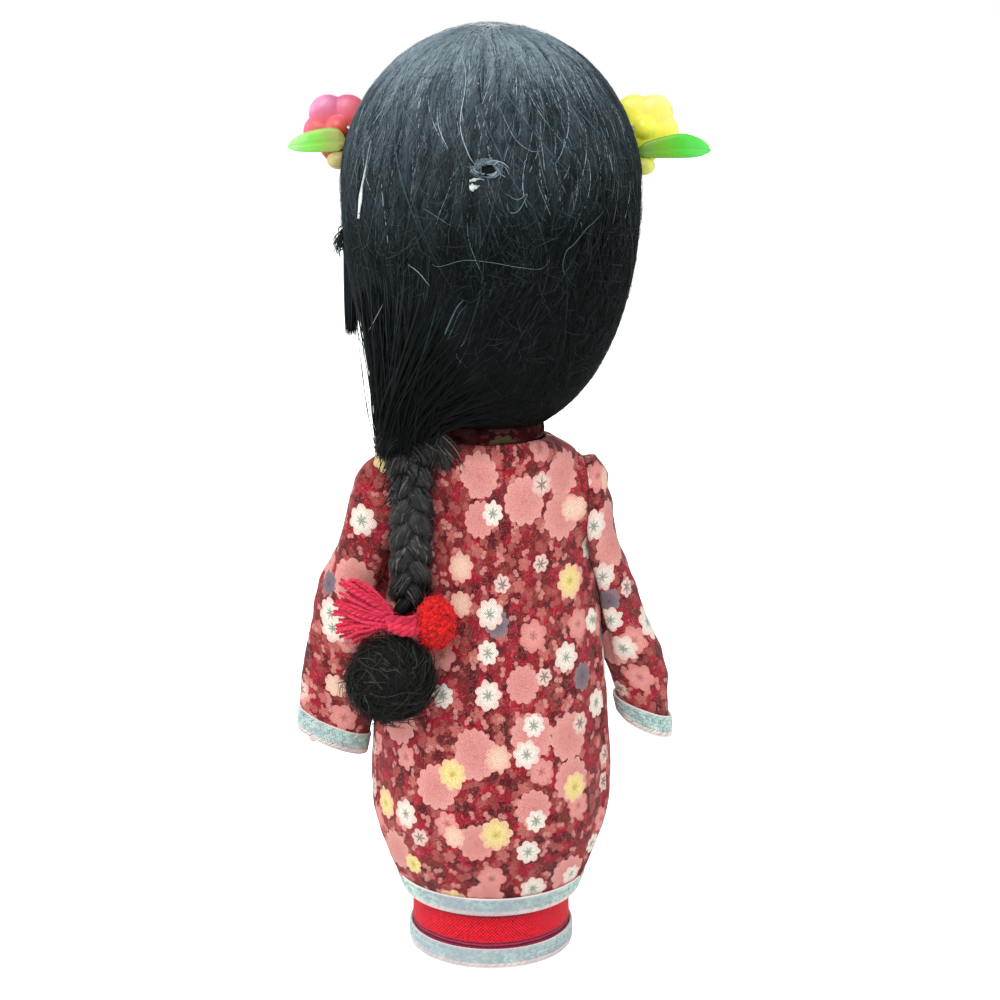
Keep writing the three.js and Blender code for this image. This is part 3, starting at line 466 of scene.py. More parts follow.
# Wadding: soft off-white cotton wool, only seen up the hem. It fills the robe down to the band.
wadding, node = blank("cotton_wadding")
fluff = node("TexNoise", node("TexCoord").outputs["Object"], scale=0.9 / mm, detail=6)
tint = node("ValToRGB", fluff, stops=[(0, "#d8d0c0"), (1, "#fbf7ee")])
surface(node, fluff, 0.9, 0.6, base_color=tint, roughness=1.0, sheen_weight=0.4)
wound = np.linspace(16.6, 104, 60)[:, None]
outer = robe_point(full_turn(96), wound, -1.5)
outer += 0.3 * ripple(outer, 6, 8)[:, :, None] * outer * [1, 1, 0] / 22
inner = around(peg_radius + 0.3, full_turn(96), wound[::-1])
inner[wound[::-1, 0] > peg_shoulder, :, :2] *= peg_neck_radius / peg_radius
closed = np.concatenate([outer, inner, outer[:1]])
wound_wadding = piece("wound_wadding", [quads(closed, wrap=True)], [wadding],
                      "torso", ["body_padding"])

# Collar and underskirt band
# A folded strip of the same cotton stands round the neck, darkened almost to maroon as painted shade, the
# shadow of the head. A woven red ribbon is glued round the foot of the peg under the robe, as the doll's
# skirt.

ribbon_pitch = 0.72
ribbon_middle = 8.4
selvedge_start, selvedge_full = 2.4, 3.1


def round_uv(turn, radius, level):
    """UVs round a closed ring, with the first column repeated at its far end."""
    uv = np.stack(np.broadcast_arrays(turn * radius, level), -1)
    return np.concatenate([uv, uv[:, :1] + [2 * np.pi * radius, 0]], 1)


# The collar is the robe's cotton in painted shade, darkened almost to maroon.
shaded_collar_cotton = printed_cotton("maroon_collar_cotton", 0.93)
collar_low, collar_high = [corner.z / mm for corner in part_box("collar")]
collar_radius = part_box("collar")[1].x / mm
turn = full_turn(160)
fold = np.linspace(0, 2 * np.pi, 15)[:, None]
ring = collar_radius - 0.6 + 0.7 * np.sin(fold) + 0.12 * np.sin(turn * 9 + 1)
lift = (collar_low + collar_high) / 2 - (collar_high - collar_low) * 0.52 * np.cos(fold)
lift = lift + 0.25 * ripple(around(ring, turn, lift), 8, 9)
uv = round_uv(turn, collar_radius, lift * 1.2)
piece("folded_collar", [quads(around(ring, turn, lift), uv, wrap=True)], [shaded_collar_cotton],
      "torso", ["collar"])

# Red ribbon: an open coarse weave that shows dark between its threads, with ribbed purplish edges.
ribbon, node = blank("red_woven_ribbon")
spot = node("VectorMath", node("UVMap", uv_map="cloth"), per_mm, operation="MULTIPLY")
axes = node("SeparateXYZ", spot).outputs
warp, weft = [node("COSINE", node("MULTIPLY", axes[n], 2 * math.pi / ribbon_pitch)) for n in (0, 1)]
slub = node("TexNoise", spot, scale=1.4, detail=3)
weave = node("MULTIPLY_ADD", node("MULTIPLY", warp, weft), -0.42, slub)
silk_red = node("ValToRGB", weave, stops=[(0.2, "#56040f"), (0.42, "#c80c24"), (0.75, "#f2142e")])
ribs = node("MULTIPLY_ADD", weft, 0.5, slub)
selvedge = node("ValToRGB", ribs, stops=[(0.2, "#4c1426"), (0.8, "#a83050")])
from_middle = node("ABSOLUTE", node("SUBTRACT", axes[1], ribbon_middle))
edge = node("MapRange", from_middle, selvedge_start, selvedge_full)
shade = node("Mix", edge, silk_red, selvedge, data_type="RGBA")
surface(node, weave, 0.6, 0.15, base_color=shade, roughness=0.6, specular_ior_level=0.2)
band_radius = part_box("underskirt_band")[1].x / mm
band_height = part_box("underskirt_band")[1].z / mm
level = np.linspace(0.3, band_height, 50)[:, None]
turn = full_turn(240)
pucker = 0.16 * np.sin(turn * 23 + np.sin(turn * 4) * 2) * np.abs(level / band_height - 0.5) * 2
pucker += 0.1 * np.sin(turn * 5)
points = around(band_radius + 0.1 + pucker, turn, level)
piece("underskirt_ribbon", [quads(points, round_uv(turn, band_radius, level), wrap=True)], [ribbon],
      "torso", ["underskirt_band"], 0.45)

# Gimp trims
# Gimp is a narrow furnishing braid: slanting silky threads in rows that lean against each other,
# between a corded edge at each side. It is sewn round the hem, the foot, the closing and the cuffs.

gimp_width = 4.3
closing_gimp_width = 2.6
stitch_pitch = 0.56
stitch_radius = 0.21
stitch_slant = 0.95
stitch_share = 0.23
edge_cord_radius = 0.19
tape_thickness = 0.25


# Rayon thread: shiny, another shade from one stitch to the next, greyer in places, and finely ribbed.
def silky_thread(name, pale, deep, grey):
    made, node = blank(name)
    fresh = node("ValToRGB", node("NewGeometry").outputs["Random Per Island"], stops=[(0, deep), (1, pale)])
    place = node("TexCoord").outputs["Object"]
    patches = node("TexNoise", place, scale=0.07 / mm, detail=2)
    faded = node("MapRange", patches, 0.4, 0.65, to_max=0.8)
    tint = node("Mix", faded, fresh, grey, data_type="RGBA")
    fibres = node("TexNoise", place, scale=5 / mm, detail=2)
    surface(node, fibres, 0.35, 0.05, base_color=tint, roughness=0.5, specular_ior_level=0.3)
    return made


aqua_thread = silky_thread("aqua_gimp_thread", "#cfe5db", "#94b4b0", "#a9b1bc")
cream_thread = silky_thread("cream_gimp_thread", "#efe3dc", "#cbc3be", "#cdbfc6")


def unit(vectors):
    return vectors / np.maximum(np.linalg.norm(vectors, axis=-1, keepdims=True), 1e-9)


def lengths(points):
    """How far along a row of points each one lies, from the first."""
    steps = np.linalg.norm(np.diff(points, axis=0), axis=-1)
    return np.concatenate([0 * steps[:1], np.cumsum(steps, axis=0)])


def tubes(paths, radius, sides=6, flat=1.0, out=(0.3, 0.5, 0.81), material=0):
    """Round threads along many paths at once: (threads, points, 3) and one radius for each point."""
    along = unit(np.gradient(paths, axis=1))
    side = unit(np.cross(along, out))
    out = np.cross(side, along)
    angle = full_turn(sides)[:, None]
    radius = np.broadcast_to(radius, paths.shape[:2])[..., None, None]
    spoke = side[:, :, None] * np.cos(angle) + flat * out[:, :, None] * np.sin(angle)
    rings = paths[:, :, None] + radius * spoke
    count, length = paths.shape[:2]
    corner = np.arange(count * length * sides).reshape(count, length, sides)
    turned_on = np.roll(corner, -1, axis=2)
    faces = np.stack([corner[:, :-1], turned_on[:, :-1], turned_on[:, 1:], corner[:, 1:]], -1).reshape(-1, 4)
    reach = lengths(paths.swapaxes(0, 1)).T[:, :, None]
    uv = np.stack(np.broadcast_arrays(np.arange(sides) / sides, reach), -1).reshape(-1, 2)[faces.ravel()]
    return rings.reshape(-1, 3), faces, uv, material


def gimp(name, path, out, width, body, replaced, closed=True):
    """A length of gimp along a path, with out the direction away from the cloth under it."""
    if closed:
        path, out = [np.concatenate([rows, rows[:1]]) for rows in (path, out)]
    reach = lengths(path)
    total = reach[-1]

    def follow(distance, rows):
        return np.stack([np.interp(distance, reach, column) for column in rows.T], -1)

    def at(distance, across, lift):
        """Points that far along the path, across it and off the cloth, and the way off the cloth at each."""
        s = np.mod(distance, total) if closed else np.clip(distance, 0, total)
        ahead, behind = [np.mod(s + step, total) if closed else s + step for step in (0.2, -0.2)]
        up = unit(follow(s, out))
        over = unit(np.cross(up, follow(ahead, path) - follow(behind, path)))
        return follow(s, path) + over * np.asarray(across)[..., None] + up * np.asarray(lift)[..., None], up

    count = int(total / stitch_pitch)
    start = np.arange(count)[:, None] * total / count
    rng = np.random.default_rng(11)
    t = np.linspace(0, 1, 5)
    parts = []
    # Each row of stitches: its middle as a share of the width, which way it leans, and 1 for cream thread.
    for middle, lean, material in ((0.38, 1, 0), (0.2, -1, 0), (0.02, 1, 0), (-0.16, -1, 0), (-0.36, 1, 1)):
        distance = start + lean * (t - 0.5) * stitch_slant + rng.normal(0, 0.05, (count, 1))
        across = (middle + (t - 0.5) * stitch_share) * width
        stitch, up = at(distance, across, 0.26 + 0.16 * np.sin(np.pi * t))
        radius = stitch_radius * (0.7 + 0.5 * np.sin(np.pi * t))
        parts.append(tubes(stitch, radius, 5, out=up, material=material))
    steps = np.linspace(0, total, max(60, int(total * 2.4)))
    for edge in (-0.5, 0.5):
        cord, up = at(steps, edge * width + 0.04 * np.sin(steps * 9), 0.3)
        parts.append(tubes(cord[None], edge_cord_radius, out=up[None], material=1))
    corners = [(-0.5, 0), (-0.5, tape_thickness), (0.5, tape_thickness), (0.5, 0)]
    tape = np.stack([at(steps, edge * width, lift)[0] for edge, lift in corners], 1)
    parts.append(quads(tape, wrap=True))
    piece(name, parts, [aqua_thread, cream_thread], body, replaced)


turn = full_turn(200)
hem_path = robe_point(turn, hem_height + gimp_width / 2, 0.15)
gimp("hem_gimp", hem_path, unit(hem_path * [1, 1, 0] + [0, 0, -7]), gimp_width, "torso", ["robe_hem_trim"])
foot_path = around(band_radius + 0.3, turn, gimp_width / 2 + 0.1)
gimp("foot_gimp", foot_path, unit(foot_path * [1, 1, 0]), gimp_width - 0.4, "torso", ["underskirt_trim"])
level = np.linspace(18.4, 107.6, 160)
edge_path = robe_point(closing_angle(level), level, 0.35)
gimp("closing_gimp", edge_path, unit(edge_path * [1, 1, 0]), closing_gimp_width, "torso", ["robe_edge_trim"],
     closed=False)

# Sleeves, cuffs, arms and hands
# Each sleeve is a flat tube of the printed cotton, set in round the padded armhole. It hangs from
# the shoulder over a thin beech arm on a wire pin, and swings with it. The painted hand just shows.

sleeve_tuck = 3.2
sleeve_gap = 0.12
tuck_depth = 2.4
armpit_rise = 5
# Crown, shoulder, elbow and cuff are how far out from the armhole's end the outer edge of a sleeve
# stands there, and the bellow is what it bulges by between the last two.
sleeves = {
    "left": dict(side=1, crown=2.3, shoulder=8.2, elbow=14.6, elbow_width=13.3, elbow_forward=0, bellow=0.5,
                 cuff=19.7, cuff_drop=48.2, cuff_width=13.2, cuff_tilt=5.6, cuff_forward=1),
    "right": dict(side=-1, crown=1, shoulder=4.4, elbow=9.2, elbow_width=9.4, elbow_forward=2.5, bellow=2.4,
                  cuff=17.4, cuff_drop=51.8, cuff_width=10.4, cuff_tilt=-5.6, cuff_forward=5.5),
}
elbow_drop = 18
elbow_half_depth, cuff_half_depth = 6.8, 4.8
palm_half_width = 1.9
thumb_radius = 0.62


def sleeve_grid(s, rows, columns):
    """Rings of a sleeve from the shoulder's crown to the cuff."""
    crown = armhole_radius * 0.98
    middle_drop = (elbow_drop + s["cuff_drop"]) / 2
    inner_low = s["cuff_drop"] + s["cuff_tilt"]
    outer = spline([[s["crown"], -crown], [s["shoulder"] * 0.78, -crown * 0.62], [s["shoulder"], 0],
                    [s["elbow"], elbow_drop], [(s["elbow"] + s["cuff"]) / 2 + s["bellow"], middle_drop],
                    [s["cuff"], s["cuff_drop"]]], 20)
    inner = spline([[s["crown"] - 4, 1 - crown], [-sleeve_tuck, -crown * 0.3], [-sleeve_tuck, crown * 0.45],
                    [s["elbow"] - s["elbow_width"], elbow_drop + armpit_rise],
                    [(s["elbow"] + s["cuff"] - s["elbow_width"] - s["cuff_width"]) / 2,
                     (elbow_drop + armpit_rise + inner_low) / 2],
                    [s["cuff"] - s["cuff_width"], inner_low]], 20)
    depth = spline([[0, 2.5], [0, armhole_radius * 0.7], [0, armhole_radius * 0.82],
                    [-s["elbow_forward"], elbow_half_depth],
                    [-(s["elbow_forward"] + s["cuff_forward"]) / 2, (elbow_half_depth + cuff_half_depth) / 2],
                    [-s["cuff_forward"], cuff_half_depth]], 20)
    share = np.linspace(0, 1, rows)
    even = np.linspace(0, 1, len(outer))
    edge, fold, thick = [np.stack([np.interp(share, even, curve[:, i]) for i in (0, 1)], -1)
                         for curve in (outer, inner, depth)]
    turn = full_turn(columns)
    across = ((edge + fold) / 2)[:, None] + ((edge - fold) / 2)[:, None] * np.cos(turn)[:, None]
    y = thick[:, :1] + thick[:, 1:] * np.sin(turn)
    return xyz(s["side"] * (armhole_reach + across[..., 0]), y, shoulder_height - across[..., 1])


def clear_of_robe(points, gap):
    """Points inside the robe or its armhole ends are moved just outside them."""
    side = np.sign(points[..., 0])
    x, y, z = np.abs(points[..., 0]), points[..., 1], points[..., 2] - shoulder_height
    from_line = np.sqrt(y ** 2 + z ** 2)
    rounding = 1 - np.sqrt(np.clip(1 - np.clip(from_line / armhole_radius, 0, 1) ** 3, 0, 1))
    end = armhole_reach - armhole_rounding * rounding + gap
    ring = armhole_radius + gap
    outwards = np.clip(end - x, 0, None)
    upwards = np.clip(ring - from_line, 0, None)
    inside = (outwards > 0) & (upwards > 0)
    sideways = inside & (outwards < upwards)
    x = np.where(sideways, end, x)
    grow = np.where(inside & ~sideways, ring / np.maximum(from_line, 1e-6), 1)
    moved = xyz(side * x, y * grow, shoulder_height + z * grow)
    angle = np.arctan2(moved[..., 1], moved[..., 0])
    wall = robe_point(angle, np.clip(moved[..., 2], hem_height, robe_top), gap)
    near = np.linalg.norm(moved[..., :2], axis=-1) < np.linalg.norm(wall[..., :2], axis=-1)
    near &= moved[..., 2] < robe_top
    moved[..., :2] = np.where(near[..., None], wall[..., :2], moved[..., :2])
    return moved


def sleeve(name, body):
    """One sleeve with its slack, its tuck along the inside and the gimp round its cuff."""
    s = sleeves[name]
    rows, columns = 110, 96
    points = sleeve_grid(s, rows, columns)
    drop = np.linspace(0, 1, rows)[:, None]
    turn = full_turn(columns)
    slack = 0.5 * ripple(points * [1, 1, 0.45], 11, 21) + 0.22 * ripple(points, 4.5, 22)
    bend = 0.45 * np.sin(drop * 30 + 3 * np.cos(turn - 0.6)) * hill(drop - 0.5, 0.16)
    slack = (slack + bend) * smooth(0.04, 0.3, drop) * (1 - 0.6 * smooth(0.85, 1, drop))
    tucked = hill(turn - 2.5, 0.33) * smooth(0.3, 0.45, drop) * smooth(0.86, 0.66, drop)
    away = unit(points - points.mean(axis=1, keepdims=True))
    gap = sleeve_gap + 1.4 * smooth(0.8, 1, drop)
    points = clear_of_robe(points + away * (slack - tuck_depth * tucked)[..., None], gap)
    to_end = -lengths(points[::-1])[::-1]
    cuff, top = [np.array([[np.interp(-up, to_end[:, c], points[:, c, i]) for i in range(3)]
                           for c in range(columns)]) for up in (gimp_width / 2, gimp_width)]
    crown = points[0].mean(axis=0)
    closing = np.array([0.03, 0.5, 0.85])[:, None, None]
    points = np.concatenate([clear_of_robe(crown + (points[:1] - crown) * closing, sleeve_gap), points])
    u = lengths(np.concatenate([points, points[:, :1]], 1).transpose(1, 0, 2)).T
    v = -lengths(points).mean(axis=1)[:, None] + 0 * u
    uv = np.stack([u - u[:, columns // 4, None] + 40 * s["side"], v + 100], -1)
    piece(name + "_sleeve_cloth", [quads(points, uv, wrap=True)], [floral_cotton], body,
          ["sleeve_" + name], cloth_thickness)
    rows = np.stack([cuff, cuff - top], 1)
    for _ in range(6):
        rows = (np.roll(rows, 1, axis=0) + 2 * rows + np.roll(rows, -1, axis=0)) / 4
    cuff, down = rows[:, 0], rows[:, 1]
    outwards = unit(np.cross(np.roll(cuff, -1, axis=0) - np.roll(cuff, 1, axis=0), down))
    outwards *= np.sign((outwards * (cuff - cuff.mean(axis=0))).sum(-1, keepdims=True))
    cuff = (cuff + 0.3 * outwards)[::s["side"]]
    gimp(name + "_cuff_gimp", cuff, outwards[::s["side"]], gimp_width, body, ["cuff_trim_" + name])


sleeve("left", "left_arm")
sleeve("right", "right_arm")

# Steel wire: drawn, with a fine line along it and a faint dulling. All four pins are of it.
steel_wire, node = blank("drawn_steel_wire")
drawn = node("TexNoise", node("TexCoord").outputs["Object"], scale=2.5 / mm, detail=3)
dull = node("MapRange", drawn, to_min=0.2, to_max=0.5)
node("OutputMaterial", node("BsdfPrincipled", base_color="#b9bcc0", metallic=1.0, roughness=dull))
give(steel_wire, "shoulder_pin_left", "shoulder_pin_right", "ornament_pin_left", "ornament_pin_right")

# Painted hands: a warm skin tone in satin, a simple mitten with a thumb.
hand_paint, node = blank("painted_hand")
mottle = node("TexNoise", node("TexCoord").outputs["Object"], scale=0.3 / mm, detail=3)
tone = node("ValToRGB", mottle, stops=[(0, "#e6bfa4"), (1, "#f8dfcc")])
surface(node, mottle, 0.1, 0.2, base_color=tone, roughness=0.4, coat_weight=0.3)
for name in ("left", "right"):
    corners = np.array([v.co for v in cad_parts["hand_" + name].data.vertices]) / mm
    high, low = corners[corners[:, 2].argmax()], corners[corners[:, 2].argmin()]
    t = np.linspace(0, 1, 24)
    along = high + (low - high) * t[:, None]
    rounding = np.sqrt(np.clip(np.sin(np.pi * np.clip(t * 0.86 + 0.14, 0, 1)), 0, 1))
    width = palm_half_width * rounding * (0.62 + 0.38 * t) + 0.02
    palm = tubes(along[None], width[None], 14, 0.62, (0, 1, 0))
    inward = -np.sign(high[0])
    reach = np.linspace(0, 1, 10)[:, None]
    thumb = high + (low - high) * 0.35 + reach * [inward * 1.6, -0.7, -2.6]
    thumb = thumb + (reach - reach ** 2) * [inward * 0.8, 0, 0]
    size = thumb_radius * np.sqrt(np.clip(1.02 - reach[:, 0] ** 3, 0.02, 1))
    piece(name + "_painted_hand", [palm, tubes(thumb[None], size[None], 10)], [hand_paint],
          name + "_arm", ["hand_" + name])

# Head and face
# A turned wooden egg, primed and sprayed a warm skin tone under clear lacquer. The face is painted
# by hand: brows, eyes with a dark upper lid, a small mouth and soft red cheeks.

head_half_width, head_half_depth = 27.3, 25.6
head_low, head_high = 111.6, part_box("head")[1].z / mm
head_widest = 158
head_fullness = 2.05
nose_height = 143
eye = (9.4, 148.6)


def ball(rows, columns, hole=0.0):
    """Points of a ball of radius 1, in rows that go up and stop short of its poles by an angle."""
    polar = np.linspace(hole, np.pi - hole, rows)[:, None]
    turn = full_turn(columns)
    return xyz(np.sin(polar) * np.cos(turn), np.sin(polar) * np.sin(turn), -np.cos(polar))


def egg(points, half_width, half_depth, top, bottom, fullness):
    """Moves points straight out from the egg's middle onto its surface."""
    p = points - [0, 0, head_widest]
    across = np.sqrt((p[..., 0] / half_width) ** 2 + (p[..., 1] / half_depth) ** 2)
    above = p[..., 2] >= 0
    power = np.where(above, 2.0, fullness)
    tall = np.where(above, top - head_widest, head_widest - bottom)
    size = (across ** power + (np.abs(p[..., 2]) / tall) ** power) ** (1 / power)
    return p / np.maximum(size, 1e-6)[..., None] + [0, 0, head_widest]


skin = ball(150, 220, 0.004) + [0, 0, head_widest]
skin = egg(skin, head_half_width, head_half_depth, head_high, head_low, head_fullness)
x, z = skin[..., 0], skin[..., 2] - nose_height
nose = 2.4 * hill(x, 2.1) * hill(z, 2.3) + 0.8 * hill(x, 1.6) * hill(z - 4.5, 5)
sockets = -0.55 * hill(np.abs(x) - 9.5, 5) * hill(z - 6, 4)
lips = 0.5 * hill(x, 3) * hill(z + 8.6, 1.7)
chin = 0.5 * hill(x, 5) * hill(z + 19, 4)
skin[..., 1] -= (nose + sockets + lips + chin) * (skin[..., 1] < 0)

# Sprayed skin: warm paint, faintly mottled, under clear lacquer with a slight orange peel.
painted, node = blank("painted_face")
place = node("TexCoord").outputs["Object"]
axes = node("SeparateXYZ", node("VectorMath", place, per_mm, operation="MULTIPLY")).outputs
mirrored = node("ABSOLUTE", axes[0])
facing = node("LESS_THAN", axes[1], 0.0)
mottle = node("TexNoise", place, scale=0.09 / mm, detail=3)
paint = node("ValToRGB", mottle, stops=[(0.3, "#ecc7ac"), (0.7, "#f5d8c2")])


def ellipse(centre, size, soft):
    """1 inside an ellipse on the front of the face, mirrored to both sides, fading over soft of its size."""
    away = node("CombineXYZ", node("SUBTRACT", mirrored, centre[0]), node("SUBTRACT", axes[2], centre[1]))
    scaled = node("VectorMath", away, (1 / size[0], 1 / size[1], 0), operation="MULTIPLY")
    far = node("VectorMath", scaled, operation="LENGTH")
    mask = node("MapRange", far, 1 - soft, 1 + soft, 1, 0, interpolation_type="SMOOTHSTEP")
    return node("MULTIPLY", mask, facing)


def less(mask, other):
    """The part of a mask that another doesn't cover."""
    return node("MULTIPLY", mask, node("SUBTRACT", 1.0, other))


eye_white = ellipse(eye, (4.0, 2.3), 0.07)
upper_eye = ellipse((eye[0] + 0.1, eye[1] + 0.35), (4.7, 2.7), 0.07)
# From the first to the last: cheeks, whites, irises, pupils, glints, upper lids, brows, upper lip, lower
# lip and nostrils. Each is drawn once and mirrored. The glints are painted highlights, a white dot in each
# eye.
strokes = [
    (node("MULTIPLY", ellipse((14, 139), (6.2, 4.6), 0.9), 0.55), "#e88880"),
    (eye_white, "#fbf9f5"),
    (node("MULTIPLY", ellipse((eye[0] - 0.2, eye[1]), (1.95, 2.25), 0.1), eye_white), "#3a221a"),
    (node("MULTIPLY", ellipse((eye[0] - 0.2, eye[1]), (1.05, 1.2), 0.15), eye_white), "#0c0a0a"),
    (ellipse((eye[0] + 0.5, eye[1] + 0.8), (0.5, 0.5), 0.25), "#ffffff"),
    (less(upper_eye, ellipse((eye[0], eye[1] - 0.5), (4.3, 2.5), 0.07)), "#15110f"),
    (less(ellipse((9.8, 153.8), (5.6, 2.7), 0.06), ellipse((9.9, 152.9), (6.0, 2.6), 0.06)), "#2a201c"),
    (less(ellipse((1.25, 134.9), (2.1, 0.95), 0.12), ellipse((0, 136.4), (0.9, 0.8), 0.3)), "#c3212f"),
    (ellipse((0, 133.8), (2.3, 1.15), 0.12), "#d2303c"),
    (ellipse((1.0, 141.3), (0.4, 0.25), 0.5), "#b5614f"),
]
for mask, colour in strokes:
    paint = node("Mix", mask, paint, colour, data_type="RGBA")
orange_peel = node("TexNoise", place, scale=0.7 / mm, detail=2)
surface(node, orange_peel, 0.08, 0.2, base_color=paint, roughness=0.4, coat_weight=0.5, coat_roughness=0.12)
piece("painted_head", [quads(skin, wrap=True)], [painted], "head", ["head"])

# Hair
# Straight black fibre is glued on from the crown down. At the back and the left it is combed round
# to the neck and drawn together into the plait. A short straight fringe hangs over the forehead.

hair_half_width, hair_half_depth = 29.2, 28.3
hair_top, hair_low = 189.8, 109.5
hair_fullness = 2.15
face_edge = -7
fringe_height = 160
nape_height = 112.8
plait_root = np.array([15.8, 14.54, 103])
head_middle = np.array([0, 0, head_widest])


# Synthetic hair: smooth straight fibre, each strand another shade. It is painted darker low down, as painted
# shade, and lighter grey towards the crown in clumps that run with the hair, as painted light and highlights.
def hair_fibre(name, *shades, crown_highlight=0.0, roughness=0.42, low=0.0, shine=0.07):
    """Fibre in those shades. Crown highlight greys the crown as painted light, low darkens the nape as
    painted shade.
    """
    made, node = blank(name)
    shade_places = np.linspace(0, 1, len(shades)) ** 0.6
    tint = node("ValToRGB", node("NewGeometry").outputs["Random Per Island"], stops=zip(shade_places, shades))
    place = node("TexCoord").outputs["Object"]
    x, y, z = node("SeparateXYZ", place).outputs
    level = node("MULTIPLY_ADD", x, 0.2, z)

    def by_height(bottom, top, at_bottom, at_top):
        return node("MapRange", level, bottom * mm, top * mm, at_bottom, at_top)

    # Painted shade: low down the strands are darkened towards near black.
    nape_shade = node("Mix", by_height(122, 166, low, 0.0), tint, "#070a08", data_type="RGBA")
    # Painted light and highlights: towards the crown the strands are painted lighter grey, in clumps along
    # the hair.
    along = node("CombineXYZ", node("ARCTAN2", x, y), by_height(0, 200, 0.0, 1.6))
    clumps = node("TexNoise", along, scale=12, detail=5, distortion=0.4)
    uneven = node("MapRange", clumps, 0.36, 0.64, 0.3 * crown_highlight, 1.3 * crown_highlight)
    crown_light_by_height = node("ValToRGB", by_height(150, 190, 0.0, 1.0), stops=[
        (0.0, "#000000"), (0.25, "#454545"), (0.45, "#5c5c5c"), (0.68, "#868686"), (0.78, "#b4b4b4"),
        (0.92, "#fafafa")])
    crown_light = node("MULTIPLY", crown_light_by_height, uneven, use_clamp=True)
    grey = node("Mix", crown_light, nape_shade, "#8fa1ab", data_type="RGBA")
    streak = node("TexNoise", place, scale=1.5 / mm, detail=2)
    surface(node, streak, 0.3, 0.1, base_color=grey, roughness=roughness, specular_ior_level=shine)
    return made


black_fibre = hair_fibre("black_hair_fibre", "#020303", "#050808", "#0a1112", "#1a262b", "#36474f",
                         crown_highlight=1.0, low=0.9)
dull_fibre = hair_fibre("matted_hair_underlayer", "#050707", "#0a0e0e", crown_highlight=0.6, roughness=0.7)
# Painted highlights: stray black hairs painted pale grey where they catch the light.
highlight_stray_fibre = hair_fibre("stray_pale_hair", "#35434a", "#66777f", "#aab6bd", crown_highlight=0.8, low=0.35)
frizz_fibre = hair_fibre("frizzed_hair_fibre", "#0c1213", "#1a2427", "#3d4c53",
                         crown_highlight=0.9, roughness=0.55, low=0.6)


def hair_normal(points):
    p = points - head_middle
    tall = np.where(p[..., 2] >= 0, hair_top - head_widest, head_widest - hair_low)
    return unit(p / xyz(hair_half_width ** 2, hair_half_depth ** 2, tall ** 2))


def hair_surface(points, out=0.0):
    """Moves points onto the egg of the hair, or that far out from it."""
    grown = egg(points, hair_half_width, hair_half_depth, hair_top, hair_low, hair_fullness)
    return grown + hair_normal(grown) * np.asarray(out)[..., None]


def hair_share(heights):
    """The width of the hair's egg at each height, as a share of its widest."""
    rise = heights - head_widest
    tall = np.where(rise >= 0, hair_top - head_widest, head_widest - hair_low)
    power = np.where(rise >= 0, 2.0, hair_fullness)
    return np.clip(1 - np.clip(np.abs(rise) / tall, 0, 1) ** power, 1e-6, 1) ** (1 / power)


def cap(name, low, front):
    """A matted layer that covers the back or the front of the head down to a height."""
    rows = 60 if front else 120
    heights = (low + (hair_top - 0.0001 - low) * np.sin(np.linspace(0, np.pi / 2, rows)))[:, None]
    ring = hair_share(heights)
    edge = np.arcsin(np.clip(face_edge / (hair_half_depth * ring), -1, 1))
    first, last = (-np.pi - edge, edge) if front else (edge, np.pi - edge)
    angle = first + (last - first) * np.linspace(0, 1, 120)
    points = xyz(hair_half_width * ring * np.cos(angle), hair_half_depth * ring * np.sin(angle), heights)
    streaks = 0.14 * ripple(xyz(angle * 60, (heights - head_widest) * 0.3, 0), 3, 31)
    piece(name + "_underlayer", [quads(hair_surface(points, streaks - 1.0))], [dull_fibre], "head",
          [name], 0.8)


cap("hair_back", nape_height, front=False)
cap("hair_fringe", fringe_height, front=True)


def ribbons(paths, normals, width, material=0):
    """Strands as shallow two-sided roofs along many paths at once, narrowing to points at both ends."""
    count, length = paths.shape[:2]
    along = unit(np.gradient(paths, axis=1))
    side = unit(np.cross(along, normals))
    t = np.linspace(0, 1, length)
    half = (np.asarray(width)[:, None] * (0.08 + 0.92 * np.sin(np.pi * t) ** 0.45) / 2)[..., None]
    rings = np.stack([paths - side * half, paths + normals * half * 0.7, paths + side * half], 2)
    corner = np.arange(count * length * 3).reshape(count, length, 3)
    around_face = [corner[:, :-1, :-1], corner[:, :-1, 1:], corner[:, 1:, 1:], corner[:, 1:, :-1]]
    faces = np.stack(around_face, -1).reshape(-1, 4)
    return rings.reshape(-1, 3), faces, np.zeros((faces.size, 2)), material


def across_surface(flow, normal):
    """The part of a direction that runs along the hair's surface."""
    return unit(flow - normal * (flow * normal).sum(-1, keepdims=True))


def combed(starts, length, steps, heading, rng, wander, out):
    """Strands that run over the hair's surface from their starts, steered by heading(points)."""
    points = hair_surface(starts)
    turn = rng.normal(0, wander, len(starts))
    lines = [points]
    stride = (length / steps)[:, None]
    curl = rng.normal(0, wander * 0.25, len(starts))
    for _ in range(steps):
        normal = hair_normal(points)
        flow = across_surface(heading(points), normal)
        side = np.cross(normal, flow)
        turn = turn * 0.94 + curl
        drift = (turn + 0.3 * ripple(points, 17, 33))[:, None]
        points = hair_surface(points + stride * unit(flow + side * drift))
        lines.append(points)
    lines = np.stack(lines, 1)
    t = np.linspace(0, 1, steps + 1)
    rise = out[:, None] * np.sin(np.pi * np.clip(t * 0.94 + 0.03, 0, 1)) ** 0.6
    normals = hair_normal(lines)
    return lines + normals * rise[..., None], normals


def back_heading(points):
    """Down from the crown, and lower down round towards the root of the plait."""
    to_root = unit(plait_root + [2, 4, 8] - points)
    low = smooth(168, 122, points[..., 2])
    left = smooth(-28, 14, points[..., 0])
    return [0, 0, -1.0] + to_root * (low * (0.35 + 0.9 * left) * 1.5)[..., None]


